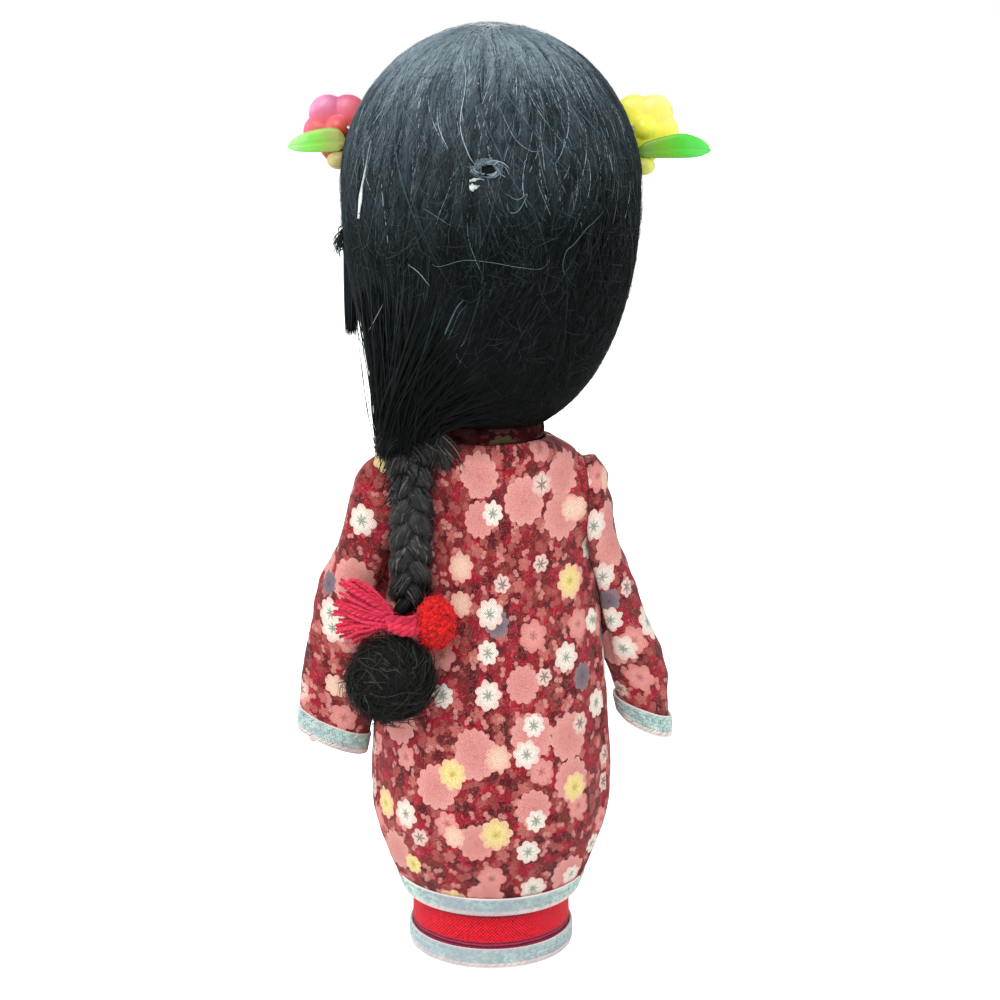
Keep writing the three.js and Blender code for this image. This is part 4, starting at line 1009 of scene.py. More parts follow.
def scattered(rng, count, keep):
    """Random places all over the hair that keep() accepts."""
    found = np.zeros((0, 3))
    while len(found) < count:
        tries = hair_surface(unit(rng.normal(size=(count, 3))) * [1, 1, 1.25] + head_middle)
        found = np.concatenate([found, tries[keep(tries)]])
    return found[:count]


def behind(points):
    return (points[:, 1] > face_edge) & (points[:, 2] > nape_height + 2)


def off_the_face(paths):
    """Which strands stay behind the edge of the face."""
    over_face = (paths[..., 1] < face_edge - 0.6) & (paths[..., 2] < fringe_height + 2)
    return ~over_face.any(axis=1)


# Each layer: strands, seed, their length, width, how far they rise, and how much they wander.
layers = [("under", 4800, 41, 30, 0.42, 0.2, 0.1), ("middle", 4800, 42, 34, 0.34, 0.45, 0.16),
          ("top", 3600, 45, 38, 0.26, 0.7, 0.3)]
for layer, count, seed, reach, wide, rise, wander in layers:
    rng = np.random.default_rng(seed)
    starts = scattered(rng, count, behind)
    length = reach * rng.uniform(0.6, 1.5, count)
    out = rng.uniform(-0.4, rise - 0.3, count)
    paths, normals = combed(starts, length, 10, back_heading, rng, wander, out)
    kept = off_the_face(paths)
    width = wide * rng.uniform(0.5, 1.3, count)
    piece("hair_back_strands_" + layer, [ribbons(paths[kept], normals[kept], width[kept])], [black_fibre],
          "head")

# Fine short frizz in every direction lies over the strands of the back.
rng = np.random.default_rng(49)
count = 5200
starts = scattered(rng, count, behind)
frizz_heading = rng.normal(0, 1.0, (count, 3)) + [0, 0, -0.5]
paths, normals = combed(starts, rng.uniform(2, 6.5, count), 7, lambda points: frizz_heading, rng, 0.4,
                        rng.uniform(0.35, 0.75, count))
kept = off_the_face(paths)
width = rng.uniform(0.06, 0.12, count)
piece("hair_back_frizz", [ribbons(paths[kept], normals[kept], width[kept])], [frizz_fibre],
      "head")

# Pale strays are painted highlights, black hairs where they catch the light: thin ones from the crown to half
# way down, and a few long loose ones.
rng = np.random.default_rng(46)
count = 900


def near_crown(points):
    """The back of the head from the crown to half way down, thinning out on the way."""
    return (points[:, 1] > -8) & (points[:, 2] > 156 + 30 * rng.uniform(0, 1, len(points)))


def on_back(across, height):
    """Points on the hair at the back of the head, by x and z."""
    inside = hair_share(height) ** 2 - (across / hair_half_width) ** 2
    return xyz(across, hair_half_depth * np.sqrt(np.maximum(inside, 0)), height)


def back_line(line, steps):
    """A curve over the back of the hair through (x, z) pairs."""
    return spline(on_back(*np.array(line, float).T), steps)


starts = scattered(rng, count, near_crown)
length = rng.uniform(6, 20, count)
paths, normals = combed(starts, length, 12, back_heading, rng, 0.22, rng.uniform(0.0, 0.3, count))
strays = [ribbons(paths, normals, rng.uniform(0.08, 0.18, count))]
angle = rng.uniform(0.15, np.pi - 0.15, count)
starts = hair_surface(xyz(np.cos(angle), np.sin(angle), rng.uniform(2.4, 4.8, count)) * 9 + [0, 0, 150])
length = rng.uniform(4, 17, count)
paths, normals = combed(starts, length, 10, back_heading, rng, 0.12, rng.uniform(0.1, 0.4, count))
strays.append(ribbons(paths, normals, rng.uniform(0.1, 0.22, count)))
# Each loose hair: its width, how far it stands off, and its line over the back.
loose_hairs = [
    (0.2, 0.6, [(-20.9, 155.9), (-19, 153.9), (-17.6, 152.8), (-15.2, 150), (-13.9, 148.9), (-13.2, 146.4),
                (-13.5, 144.2)]),
    (0.12, 0.45, [(11, 146.6), (9.5, 146.1), (5, 147.4), (0.2, 147.1), (-4.6, 146.2), (-9.2, 145.7),
                  (-11, 147.6)]),
    (0.14, 0.45, [(-2.6, 159.8), (-4.8, 158.6), (-6.6, 159.6), (-5, 156.6), (-3.4, 156.4), (-2.9, 158.2)]),
    (0.16, 0.45, [(6, 186), (4.6, 180), (5.6, 172), (4.2, 167), (3, 165)]),
    (0.16, 0.45, [(-1, 176), (-4, 170), (-7, 167.4), (-9.6, 167.2)]),
    (0.14, 0.45, [(12.5, 156.9), (9.8, 155.3), (7, 153.6)]),
    (0.14, 0.45, [(15.5, 146.3), (13.3, 144.7), (11.3, 142.3)]),
    (0.3, 2.0, [(26.2, 131.6), (24.6, 129.8), (22.8, 128.3), (19, 124.7), (16.1, 121.1)]),
    (0.24, 2.1, [(26, 130.4), (22.8, 128), (20, 127.6), (17.4, 127.4)]),
    (0.3, 0.45, [(5, 140), (6.4, 138.2), (8.2, 134.1), (9.6, 130.7), (11.3, 127.9)]),
    (0.16, 0.45, [(4.4, 139), (6, 137), (7.6, 133.1), (9.2, 129.9)]),
    (0.16, 1.9, [(19.2, 138.7), (21.2, 134.6), (23, 130.8)]),
    (0.14, 0.45, [(4.7, 132), (6.5, 129), (4.4, 126.3)]),
    (0.14, 1.9, [(24, 128), (18, 124.5), (13, 120), (10.5, 116)]),
]
for width, lift, line in loose_hairs:
    path = hair_surface(back_line(line, 6)[None], lift)
    strays.append(ribbons(path, hair_normal(path), [width]))
piece("pale_stray_hairs", strays, [highlight_stray_fibre], "head")

# A cowlick at the middle of the back, where ends were glued down in a ragged ring round a dark hollow. The
# ring is pale fibre as a painted highlight, and the hollow is dark as painted shade.
cowlick = on_back(0.5, 164.0)
cowlick_hollow = hair_fibre("shadowed_cowlick_middle", "#05080a", "#151c20", shine=0.08, roughness=0.8)
rng = np.random.default_rng(47)
count = 150
t = np.linspace(0, 1, 9)
angle = rng.choice([0.2, 0.9, 1.7, 2.5, 3.6, 5.6], (count, 1)) + rng.normal(0, 0.35, (count, 1))
angle = angle + t * rng.normal(0.6, 0.6, (count, 1))
ring = rng.uniform(0.7, 2.4, (count, 1)) + t * rng.uniform(-0.3, 1.6, (count, 1))
paths = cowlick + xyz(ring * np.cos(angle) * 1.1, 0, ring * np.sin(angle) * 0.72)
paths = hair_surface(paths, 0.8 * rng.uniform(0.6, 1.3, (count, 1)) * hill(ring - 1.9, 0.9) + 0.4)
swirl = ribbons(paths, hair_normal(paths), rng.uniform(0.1, 0.2, count))
across = rng.uniform(-1, 1, (count, 1))
s = (t * 2 - 1) * rng.uniform(0.7, 1.05, (count, 1))
high = across * (0.75 + 0.25 * np.sin(3 * s + 1)) * np.sqrt(np.clip(1.12 - s ** 2, 0, 1)) - 0.22 * s
paths = cowlick + xyz(s * 1.5 + 0.15 * np.sin(9 * across), 0, high + 0.1 * np.sin(7 * s + 5 * across))
paths = hair_surface(paths, 0.62 + 0.2 * rng.uniform(-1, 1, (count, 1)))
hollow = ribbons(paths, hair_normal(paths), rng.uniform(0.08, 0.2, count), material=1)
piece("cowlick_strands", [swirl, hollow], [highlight_stray_fibre, cowlick_hollow], "head")

# Dried white glue: a chalky film, uneven and slightly glossy, that grey hair shows through higher up.
# Two flecks lie under the cowlick, one above it, and a thin run follows a parting at the left.
glue, node = blank("dried_white_glue")
place = node("TexCoord").outputs["Object"]
cloud = node("TexNoise", place, scale=1.2 / mm, detail=4)
tint = node("ValToRGB", cloud, stops=[(0.3, "#b9c0c2"), (0.7, "#f6f7f5")])
thin = node("MapRange", node("SeparateXYZ", place).outputs[2], 157 * mm, 166 * mm, to_max=0.85)
veil = node("Mix", thin, tint, "#5c6a72", data_type="RGBA")
surface(node, cloud, 0.5, 0.3, base_color=veil, roughness=0.4)
# Each line of glue: its way over the back, and half its width.
glue_lines = [([(2.0, 161.2), (2.8, 160.9), (3.9, 160.8)], 0.85),
              ([(1.2, 162.2), (2.2, 162.4), (3.9, 162.0)], 0.4),
              ([(2.7, 179.3), (2.2, 179.0)], 0.3),
              ([(22.2, 168.6), (23.2, 163.9), (24.3, 158.9), (24.9, 153.9)], 0.66)]
flecks = []
for line, half in glue_lines:
    path = hair_surface(back_line(line, 10), 0.5)
    t = np.linspace(0, 1, len(path))
    width = half * np.sin(np.pi * np.clip(t * 0.9 + 0.04, 0, 1)) ** 0.4 * (0.12 + 1.1 * t ** 1.6)
    normals = hair_normal(path)
    side = np.cross(unit(np.gradient(path, axis=0)), normals) * (width * (1 + 0.25 * np.sin(t * 19)))[:, None]
    flecks.append(quads(np.stack([path - side, path + normals * 0.2, path + side], 1)))
piece("dried_glue_flecks", flecks, [glue], "head", thickness=0.2)

# The fringe is combed down from the crown and cut off straight above the brows.
rng = np.random.default_rng(43)
count = 3600
angle = rng.uniform(-np.pi, 0, count)
high = rng.uniform(0, 1, count) ** 0.7
starts = hair_surface(around(3 + 26 * high, angle, hair_top - 26 * high))
length = np.clip(1.15 * (starts[:, 2] - fringe_height) + 6 * (1 - high), 5, 40)
paths, normals = combed(starts, length, 9, lambda points: [0, 0, -1.0] + points * [0.02, 0.02, 0], rng, 0.07,
                        rng.uniform(0.1, 0.6, count))
paths[..., 2] = np.maximum(paths[..., 2], fringe_height - 1.2 + rng.uniform(-0.5, 0.5, (count, 1)))
piece("hair_fringe_strands", [ribbons(paths, normals, 0.5 * rng.uniform(0.5, 1.3, count))], [black_fibre],
      "head")

# A lock of hair hangs in front of each ear, the left one straight down and the right one along the cheek.
for name, side, drift in (("left", 1, -0.6), ("right", -1, 5.4)):
    rng = np.random.default_rng(44)
    edge = head_half_width + 0.8
    middle = spline([[side * (edge - 1.1), -10.5, 164], [side * edge, -10.5, 155],
                     [side * (edge - drift * 0.2), -10.5, 145.5], [side * (edge - drift), -10.5, 127]], 8)
    count = 520
    angle = rng.uniform(0, 2 * np.pi, count)
    t = np.linspace(0, 1, len(middle))
    spread = np.sqrt(rng.uniform(0.25, 1, count))[:, None] * 2.3 * (0.6 + 0.8 * t - 0.7 * t ** 3)
    round_it = xyz(np.cos(angle) * 0.8, np.sin(angle), 0)[:, None]
    whole = middle + round_it * spread[..., None]
    places = rng.uniform(0.88, 1.0, count)[:, None] * t * (len(middle) - 1)
    low = np.floor(places).astype(int).clip(0, len(middle) - 2)
    share = (places - low)[..., None]
    rows = np.arange(count)[:, None]
    paths = whole[rows, low] * (1 - share) + whole[rows, low + 1] * share
    piece(name + "_side_lock_strands", [ribbons(paths, unit(round_it), 0.42 * rng.uniform(0.6, 1.3, count))],
          [black_fibre], "head", ["side_lock_" + name])


def bowed(starts, ends, bow, t):
    """Lines from starts to ends that bulge in their middle by the bow."""
    return starts[:, None] * (1 - t) + ends[:, None] * t + bow[..., None, :] * (4 * t * (1 - t))


def lifted(paths, out):
    """Points that have sunk into the hair are moved that far out from its surface."""
    clear = hair_surface(paths, out)
    sunk = np.linalg.norm(paths - head_middle, axis=-1) < np.linalg.norm(clear - head_middle, axis=-1)
    return np.where(sunk[..., None], clear, paths)


# Loose ends at the left: a small brush that sticks out beside the lock, and wisps beside the plait's root.
rng = np.random.default_rng(48)
t = np.linspace(0, 1, 8)[:, None]
count = 70
roots = np.array([27.9, 1.0, 148.8]) + rng.normal(0, 1, (count, 3)) * [0.3, 1.0, 1.0]
tips = roots + np.array([1.9, 0.6, -1.9]) + rng.normal(0, 1, (count, 3)) * [0.5, 0.8, 0.7]
brush = bowed(roots, tips, np.array([0.9, 0.2, 0.4]), t)
loose_ends = [ribbons(brush, np.array([0.7, 0.7, 0.1]), rng.uniform(0.15, 0.35, count))]
t = np.linspace(0, 1, 14)[:, None]
count = 170
height = rng.uniform(112, 140, count)
starts = on_back(np.interp(height, [112, 125, 140], [10, 19.5, 24.5]), height)
ends = xyz(rng.uniform(15, 22.5, count), rng.uniform(11.5, 19, count), height - rng.uniform(12, 24, count))
ends[:, 2] = np.maximum(ends[:, 2], 97)
wisps = bowed(starts, ends, xyz(rng.uniform(-2.8, -0.2, count), rng.uniform(0, 1.8, count), 0), t)
wisps += 0.3 * np.sin(t * rng.uniform(5, 12, (count, 1, 3)) + rng.uniform(0, 6, (count, 1, 3))) * t
wisps = np.where(wisps[..., 2:] > hair_low + 4, lifted(wisps, 0.4), wisps)
loose_ends.append(ribbons(wisps, unit([0.5, 0.8, 0.1]), rng.uniform(0.24, 0.44, count)))
piece("loose_left_wisps", loose_ends, [black_fibre], "head")

# A tuft that slipped out of the plait's root lies on the robe beside it, with one hair looped at the left.
# Its palest shades are partly painted highlights, light caught by the loose hairs.
frayed = hair_fibre("frayed_brownish_hair", "#0c0c0b", "#1c1b1a", "#403d3a", "#7c7976",
                    roughness=0.5, shine=0.26)
rng = np.random.default_rng(50)
count = 300
t = np.linspace(0, 1, 12)
across = rng.normal(0, 1, count)[:, None]
x = 13.4 - 3.9 * t + across * (0.7 + 0.8 * t) + 0.5 * np.sin(5 * t + rng.uniform(0, 6, (count, 1)))
z = 113.5 - (t + 0.15 * t ** 2) * rng.uniform(5, 8.5, (count, 1))
robe_angle = np.arccos(np.clip(x / robe_half_width(np.clip(z, 95, robe_top)), -1, 1))
robe_back = robe_point(robe_angle, np.minimum(z, robe_top))[..., 1]
paths = xyz(x, np.maximum(robe_back, 10.5) + rng.uniform(1.1, 2.6, (count, 1)) + 2.2 * (1 - t) ** 2, z)
slipped = ribbons(paths, unit([-0.2, 1, 0.2]), rng.uniform(0.14, 0.3, count))
loop = spline([[18.6, 15, 113], [20, 16.6, 110], [20.5, 17.4, 106.5], [19.9, 17.6, 103.5],
               [17.9, 17.4, 101.6]], 8)
hair_loop = ribbons(loop[None], unit([0.3, 1, 0.2]), [0.26])
piece("slipped_hair_tuft", [slipped, hair_loop], [frayed], "head")

# Gathered hair and plait
# The hair is drawn together behind the left side of the neck and plaited with three strands. It
# hangs against the robe and is tied off near its end.

plait_line = spline([[16.6, 15.2, 113], [15.8, 14.54, 103], [15.8, 15.9, 90], [16.2, 17.2, 76.5]], 30)
bundle_radius = 2.15
plait_spread = 2.1
plait_depth = 1.05
crossing_length = 14.5
plait_fibre = hair_fibre("frizzy_plait_fibre", "#030303", "#080a0a", "#121413", "#2f2e2c", "#5e5a58",
                         roughness=0.46, shine=0.42)
plait_core = hair_fibre("matted_plait_core", "#060706", "#0e0e0d", roughness=0.8, shine=0.14)


def bundle(number, heights):
    """The middle of one of the plait's three strands at each height."""
    x, y = [np.interp(heights, plait_line[::-1, 2], plait_line[::-1, i]) for i in (0, 1)]
    phase = 2 * np.pi * ((113 - heights) / crossing_length + number / 3)
    loose = 1 + smooth(103, 112, heights)
    return xyz(x + plait_spread * loose * np.sin(phase), y + plait_depth * np.sin(2 * phase), heights)


heights = np.linspace(112.5, 76.8, 90)
cores, fibres, fibre_normals = [], [], []
rng = np.random.default_rng(51)
for number in range(3):
    line = bundle(number, heights)
    size = bundle_radius * (1 + 0.35 * smooth(103, 112, heights)) * (1 - 0.25 * smooth(82, 77, heights))
    cores.append(tubes(line[None], (size * 0.86)[None], 12, 0.85, (0, 1, 0)))
    along = unit(np.gradient(line, axis=0))
    side = unit(np.cross(along, [0, 1, 0]))
    out = np.cross(side, along)
    for _ in range(240):
        angle = rng.uniform(0, 2 * np.pi) + 0.4 * np.sin(heights * 0.35 + rng.uniform(0, 6))
        angle = angle + 0.09 * np.sin(heights * rng.uniform(3, 5) + rng.uniform(0, 6))
        radial = side * np.cos(angle)[:, None] + out * np.sin(angle)[:, None] * 0.85
        reach = size * rng.uniform(0.86, 1.05) + 0.1 * np.sin(heights * rng.uniform(2, 5) + rng.uniform(0, 6))
        strand = line + radial * reach[:, None]
        pick = np.linspace(rng.integers(0, 30), rng.integers(60, 90) - 1, 46).astype(int)
        fibres.append(strand[pick])
        fibre_normals.append(unit(radial)[pick])
braid = piece("plait_bundles", cores, [plait_core], None, ["plait"])
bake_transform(braid)

# Short ends stand out of the plait all along it.
fibres, fibre_normals = np.array(fibres), np.array(fibre_normals)
count = 900
frizz = rng.integers(0, len(fibres), count)
frizz_at = rng.integers(3, 42, count)
t = np.linspace(0, 1, 5)[:, None]
lift = fibre_normals[frizz, frizz_at][:, None] * rng.uniform(0.3, 1.0, (count, 1, 1))
lift = lift + rng.normal(0, 0.5, (count, 1, 3))
fuzz = fibres[frizz, frizz_at][:, None] + lift * t + rng.normal(0, 0.4, (count, 1, 3)) * t ** 2
strands = piece("plait_strands",
                [ribbons(fibres, fibre_normals, rng.uniform(0.16, 0.42, len(fibres))),
                 ribbons(fuzz, unit([0.1, 1, 0.2]), rng.uniform(0.08, 0.16, count))],
                [plait_fibre], None)
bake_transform(strands)


def near_gather(points):
    """Where the gathered hair springs from: the lower left of the back."""
    x, y, z = points.T
    return (x + (150 - z) * 0.4 > 8) & (x > -14) & (y > -8) & (z < 150) & (z > nape_height + 1)


# Each gathered strand leaves the head as it was combed, curves in, and runs down into the plait's root.
rng = np.random.default_rng(52)
count = 3400
starts = scattered(rng, count, near_gather)
angle = rng.uniform(0, 2 * np.pi, count)
spread = np.sqrt(rng.uniform(0, 1, count))
ends = np.array([17.2, 14.8, 110.5]) + xyz(np.cos(angle) * 5.6 * spread, np.sin(angle) * 3.2 * spread,
                                           rng.uniform(-4, 1, count))
t = np.linspace(0, 1, 12)[:, None]
span = np.linalg.norm(ends - starts, axis=1)[:, None]
first = starts + across_surface(back_heading(starts), hair_normal(starts)) * span * 0.26
second = ends + unit(rng.normal(0, 0.12, (count, 3)) + [-0.02, 0.16, 1]) * span * 0.36
p0, p1, p2, p3 = [p[:, None] for p in (starts, first, second, ends)]
paths = (1 - t) ** 3 * p0 + 3 * t * (1 - t) ** 2 * p1 + 3 * t ** 2 * (1 - t) * p2 + t ** 3 * p3
paths = lifted(paths, 0.3)
normals = unit(hair_normal(paths) * 0.7 + unit(paths - [12, 6, 0] - paths * [0, 0, 1]) * 0.3)
gathered = piece("gathered_strands", [ribbons(paths, normals, rng.uniform(0.18, 0.45, count))],
                 [black_fibre], None, ["hair_gather"])
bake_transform(gathered)

# Tie, tassel, pom-pom and tuft
# The plait's end is bound with crimson yarn whose ends fan out as a tassel at the left. A red yarn
# pom-pom is sewn on at the right, and the rest of the hair fluffs out below as a round tuft.

tie_low, tie_high = [np.array(corner / mm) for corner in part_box("plait_tie")]
tie = (tie_low + tie_high) / 2
tie_turns = 7
tassel_root, tassel_end = tie + [2.4, 1.0, 0.3], tie + [13.6, -2.9, 0.9]
pompom_size = np.array([3.6, 3.6, 4.9])
tuft_size = np.array([8.6, 4.9, 8.4])


# Spun acrylic yarn: matt and a little fuzzy, another shade from one thread to the next.
def yarn(name, bright, deep):
    made, node = blank(name)
    tint = node("ValToRGB", node("NewGeometry").outputs["Random Per Island"], stops=[(0, deep), (1, bright)])
    fuzz = node("TexNoise", node("TexCoord").outputs["Object"], scale=4.2 / mm, detail=3)
    surface(node, fuzz, 0.6, 0.1, base_color=tint, roughness=0.85, sheen_weight=0.12, specular_ior_level=0.2)
    return made


crimson_yarn = yarn("crimson_tassel_yarn", "#ec3a5c", "#b01a38")
red_yarn = yarn("red_pompom_yarn", "#ee1c1c", "#a8080e")


def plied(paths, radius, pitch):
    """Each path as two thin threads twisted round each other."""
    along = unit(np.gradient(paths, axis=1))
    side = unit(np.cross(along, [0.2, 0.9, 0.3]))
    up = np.cross(side, along)
    reach = np.cumsum(np.linalg.norm(np.diff(paths, axis=1, prepend=paths[:, :1]), axis=2), 1)
    both = []
    for start in (0, np.pi):
        angle = (reach / pitch * 2 * np.pi + start)[..., None]
        both.append(paths + radius * 0.55 * (side * np.cos(angle) + up * np.sin(angle)))
    return tubes(np.concatenate(both), radius * 0.68, 6)


# The yarn goes round the plait seven times, with three thick ends knotted over it at the back.
t = np.linspace(0, 1, tie_turns * 26)
wrap = t * tie_turns * 2 * np.pi
level = tie_low[2] + 0.5 + (tie_high[2] - tie_low[2] - 1) * t + 0.25 * np.sin(wrap * 0.5)
coil = xyz(tie[0] + (3.7 + 0.3 * np.sin(t * 17)) * np.cos(wrap),
           tie[1] + (3.3 + 0.25 * np.sin(t * 23)) * np.sin(wrap), level)
s = np.linspace(-1, 1, 26)
knot = np.array([tie + xyz(3.1 * s, 4.4 - 1.6 * s ** 2, shift * (1 - 0.5 * s ** 2) + 0.4 * s)
                 for shift in (-1.1, 0, 1.1)])
piece("plait_yarn_tie", [plied(coil[None], 0.5, 1.6), plied(knot, 0.85, 2.6)], [crimson_yarn], "plait",
      ["plait_tie"])

rng = np.random.default_rng(61)
count = 64
fan = rng.uniform(-1, 1, count)
deep = rng.uniform(-1, 1, count)
ends = tassel_end + xyz(rng.uniform(-2.4, 0.8, count) - 1.4 * fan ** 2, deep * 1.4, fan * 6.4)
roots = tassel_root + xyz(0, deep * 1.2, fan * 1.2)
bow = xyz(0, deep * 0.6 + 0.9, np.abs(fan) * 0.6 + rng.normal(0, 0.5, count))
t = np.linspace(0, 1, 30)[:, None]
paths = bowed(roots, ends, bow, t) + 0.12 * np.sin(t * 14 + rng.uniform(0, 6, (count, 1, 1)))
piece("tassel_yarns", [plied(paths, 0.36, 1.3)], [crimson_yarn], "plait", ["tie_tassel"])

# The pom-pom is two layers of short loops all round, with fine fuzz on its outer half.
pom_low, pom_high = [np.array(corner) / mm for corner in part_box("tie_pompom")]
pom = (pom_low + pom_high) / 2
pom[0] = tie[0] - 6.1
loops = []
for layer, count, thick in ((1.0, 620, 0.42), (0.88, 420, 0.4)):
    k = np.arange(count) + 0.5
    polar = np.arccos(1 - 2 * k / count)
    turn = k * np.pi * (1 + 5 ** 0.5) + layer * 9
    out = xyz(np.sin(polar) * np.cos(turn), np.sin(polar) * np.sin(turn), np.cos(polar))
    rng = np.random.default_rng(62)
    middle = pom + out * pompom_size * layer * (1 + 0.05 * rng.normal(0, 1, (count, 1)))
    lean = unit(rng.normal(0, 1, (count, 3))) * 0.3
    t = np.linspace(-1, 1, 7)[:, None]
    paths = middle[:, None] + lean[:, None] * t - out[:, None] * 0.3 * t ** 2
    loops.append(tubes(paths, thick * np.sqrt(1.02 - t.T ** 2), 8))
rng = np.random.default_rng(65)
count = 700
out = unit(rng.normal(0, 1, (count, 3)))
out[:, 1] = np.abs(out[:, 1])
t = np.linspace(0, 1, 5)[:, None]
fuzz = pom + out[:, None] * pompom_size * (1 + 0.16 * t) + rng.normal(0, 0.5, (count, 1, 3)) * t
loops.append(ribbons(fuzz, unit([0.2, 1, 0.3]), rng.uniform(0.06, 0.12, count)))
piece("pompom_yarn_loops", loops, [red_yarn], "plait", ["tie_pompom"])

# The tuft: curved hairs wound over a dark core, with every sixth one sticking out further.
tuft_low, tuft_high = [np.array(corner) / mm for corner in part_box("plait_tuft")]
tuft = (tuft_low + tuft_high) / 2
tuft_fibre = hair_fibre("fluffed_tuft_fibre", "#020202", "#060705", "#0d0f0b", "#1d1e19", "#45433c",
                        roughness=0.6, shine=0.2)
rng = np.random.default_rng(63)
count = 4600
t = np.linspace(0, 1, 11)[:, None]
begin = unit(rng.normal(0, 1, (count, 3)))
axis = unit(np.array([0.35, 1, 0.25]) + rng.normal(0, 0.45, (count, 3)))
other = unit(np.cross(axis, begin))
sweep = rng.uniform(0.5, 1.7, (count, 1, 1))
depth = rng.uniform(0.8, 1.0, (count, 1, 1))
round_it = begin[:, None] * np.cos(t * sweep) + other[:, None] * np.sin(t * sweep)
waves = t * rng.uniform(3, 12, (count, 1, 3)) + rng.uniform(0, 6, (count, 1, 3))
round_it = unit(round_it + 0.05 * np.sin(waves))
ends_up = rng.uniform(-0.06, 0.12, (count, 1, 1)) * t ** 1.5
ends_up[::6] += rng.uniform(0.05, 0.3, (len(ends_up[::6]), 1, 1)) * t ** 1.3
paths = tuft + round_it * tuft_size * (depth + ends_up + 0.08 * ripple(round_it, 2.4, 66)[..., None])
core = ball(40, 60, 0.02)
core = tuft + core * tuft_size * (0.8 + 0.08 * ripple(core, 2.4, 66))[..., None]
piece("tuft_core", [quads(core, wrap=True)], [plait_core], "plait", ["plait_tuft"])
piece("tuft_strands", [ribbons(paths, unit(round_it), rng.uniform(0.12, 0.3, count))], [tuft_fibre], "plait")

# Plastic flowers
# Soft moulded plastic, sprayed in several colours: pink running into orange on the left, yellow into
# peach on the right, each with a green leaf and a small olive bud under it, on a steel pin.

hub_radius = 2.6
petal_reach = 3.4
petal_angles = (-90, -18, 54, 126, 198)
petal_radii = (3.9, 1.9, 3.9)
bud_radii = (2.3, 2.0, 1.9)


# Soft PVC: translucent, satin and slightly uneven, with sprayed colours that run into each other.
def moulded(name, start, end, *colours):
    """Plastic whose colours run from one point (x, z) to another."""
    made, node = blank(name)
    place = node("TexCoord").outputs["Object"]
    run = np.array([end[0] - start[0], 0, end[1] - start[1]])
    run = run / run.dot(run)
    offset = run.dot([start[0], 0, start[1]])
    level = node("VectorMath", place, tuple(run / mm), operation="DOT_PRODUCT")
    cloud = node("TexNoise", place, scale=0.26 / mm, detail=3)
    share = node("ADD", level, node("MULTIPLY_ADD", cloud, 0.5, -0.25 - offset))
    tint = node("ValToRGB", share, stops=zip(np.linspace(0, 1, len(colours)), colours))
    surface(node, cloud, 0.3, 0.6, base_color=tint, roughness=0.4, subsurface_weight=0.25,
            subsurface_scale=2 * mm, subsurface_radius=(1, 0.6, 0.5))
    return made


def lobe(middle, radii):
    """A smooth egg of plastic round a point."""
    return quads(np.array(middle) + ball(25, 40) * radii, wrap=True)


def leaf_blade(side, low, high, bottom, top):
    """A thick blade from the head outwards in that box, with its edges as pairs of reach and height."""
    reach = 1 - (1 - np.linspace(0, 1, 60)) ** 1.6
    long = high[0] - low[0]
    lower, upper = [spline([[a * long, low[2] + b] for a, b in edge], 12) for edge in (bottom, top)]
    along = reach * long
    under, above = [np.interp(along, edge[:, 0], edge[:, 1])[:, None] for edge in (lower, upper)]
    turn = side * full_turn(40)
    blunt = (np.clip(reach * 9, 0, 1) * np.clip((1 - reach) * 30, 0, 1))[:, None] ** 0.5
    z = (under + above) / 2 + (above - under) / 2 * blunt * np.cos(turn)
    rib = 0.3 * hill(np.cos(turn) + 0.15, 0.1)
    thick = (high[1] - low[1]) / 2 * np.abs(np.sin(turn)) ** 0.6 * np.sign(np.sin(turn)) * blunt * (1 - rib)
    x = low[0] + along if side > 0 else high[0] - along
    return quads(xyz(x[:, None], (low[1] + high[1]) / 2 + thick, z), wrap=True)


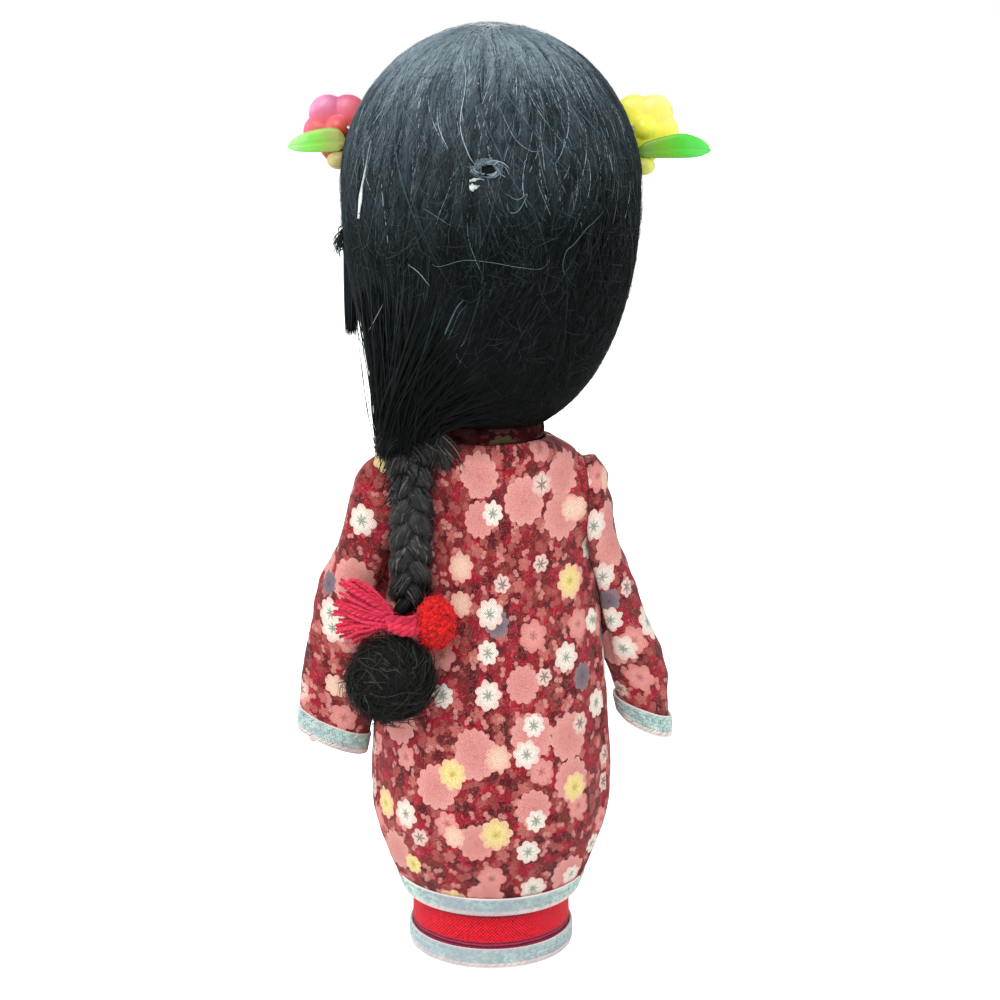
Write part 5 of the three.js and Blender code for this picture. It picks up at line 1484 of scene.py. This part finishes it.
flowers = {
    "left": dict(
        side=1, lower=0, petal_slot="pink_plastic", leaf_slot="lime_plastic",
        petal=moulded("pink_orange_plastic", (29, 167.5), (33, 176.5), "#b04c30", "#dc5844", "#e06474",
                      "#d06e96", "#e498bc"),
        leaf=moulded("lime_leaf_plastic", (30, 166), (40, 166), "#a2a85a", "#96c44e", "#7fdc48", "#a8ec8e"),
        bud=moulded("olive_bud_plastic", (29, 163), (33, 164), "#b08c68", "#a8a060", "#c8b87c"),
        bottom=[(0, 0.2), (0.4, 0.0), (0.8, 0.1), (1, 0.9)],
        top=[(0, 4.3), (0.25, 4.9), (0.5, 4.5), (0.72, 3.7), (0.9, 2.6), (1, 1.1)]),
    "right": dict(
        side=-1, lower=1.2, petal_slot="yellow_plastic", leaf_slot="green_plastic",
        petal=moulded("yellow_peach_plastic", (-28, 166), (-35, 177), "#b8c420", "#ecec3c", "#f8f058",
                      "#f8e07c", "#fbf2a8"),
        leaf=moulded("green_leaf_plastic", (-29, 166), (-43, 166), "#6f9438", "#6cae10", "#4cc426",
                     "#5cd85c"),
        bud=moulded("yellow_bud_plastic", (-29, 163), (-33, 164), "#c8cc58", "#dcdc68"),
        bottom=[(0, 0.1), (0.4, 0.0), (0.8, 0.2), (1, 1.3)],
        top=[(0, 2.4), (0.2, 3.6), (0.45, 4.6), (0.65, 4.9), (0.85, 3.9), (0.95, 2.8), (1, 1.6)]),
}
for name, f in flowers.items():
    flower_front = np.array(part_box("flower_" + name)[1]) / mm
    hub = np.array([f["side"] * 31.0, flower_front[1] - 2.6, flower_front[2] - 7.4])
    petals = [lobe(hub, hub_radius)]
    for angle in np.radians(petal_angles):
        middle = hub + petal_reach * xyz(math.cos(angle), 0, math.sin(angle)) - [0, 0.6, 0]
        petals.append(lobe(middle, petal_radii))
    flower = piece("moulded_flower_" + name, petals, [f["petal"]],
                   "head", ["flower_" + name])
    low, high = [np.array(corner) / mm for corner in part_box("flower_leaf_" + name)]
    low[2] -= f["lower"]
    piece("moulded_leaf_" + name, [leaf_blade(f["side"], low, high, f["bottom"], f["top"])], [f["leaf"]],
          "head", ["flower_leaf_" + name])
    middle = hub + [f["side"] * -0.2, 3.2, -6.3 - f["lower"]]
    piece("moulded_bud_" + name, [lobe(middle, bud_radii)], [f["bud"]],
          "head", ["flower_bud_" + name])
    # One skin over all the lobes, with softened valleys between the petals.
    fine = flower.modifiers.new("fine", "REMESH")
    fine.mode = "VOXEL"
    fine.voxel_size = 0.2 * mm
    fine.use_smooth_shade = True
    soften = flower.modifiers.new("soften", "SMOOTH")
    soften.factor = 0.5
    soften.iterations = 8
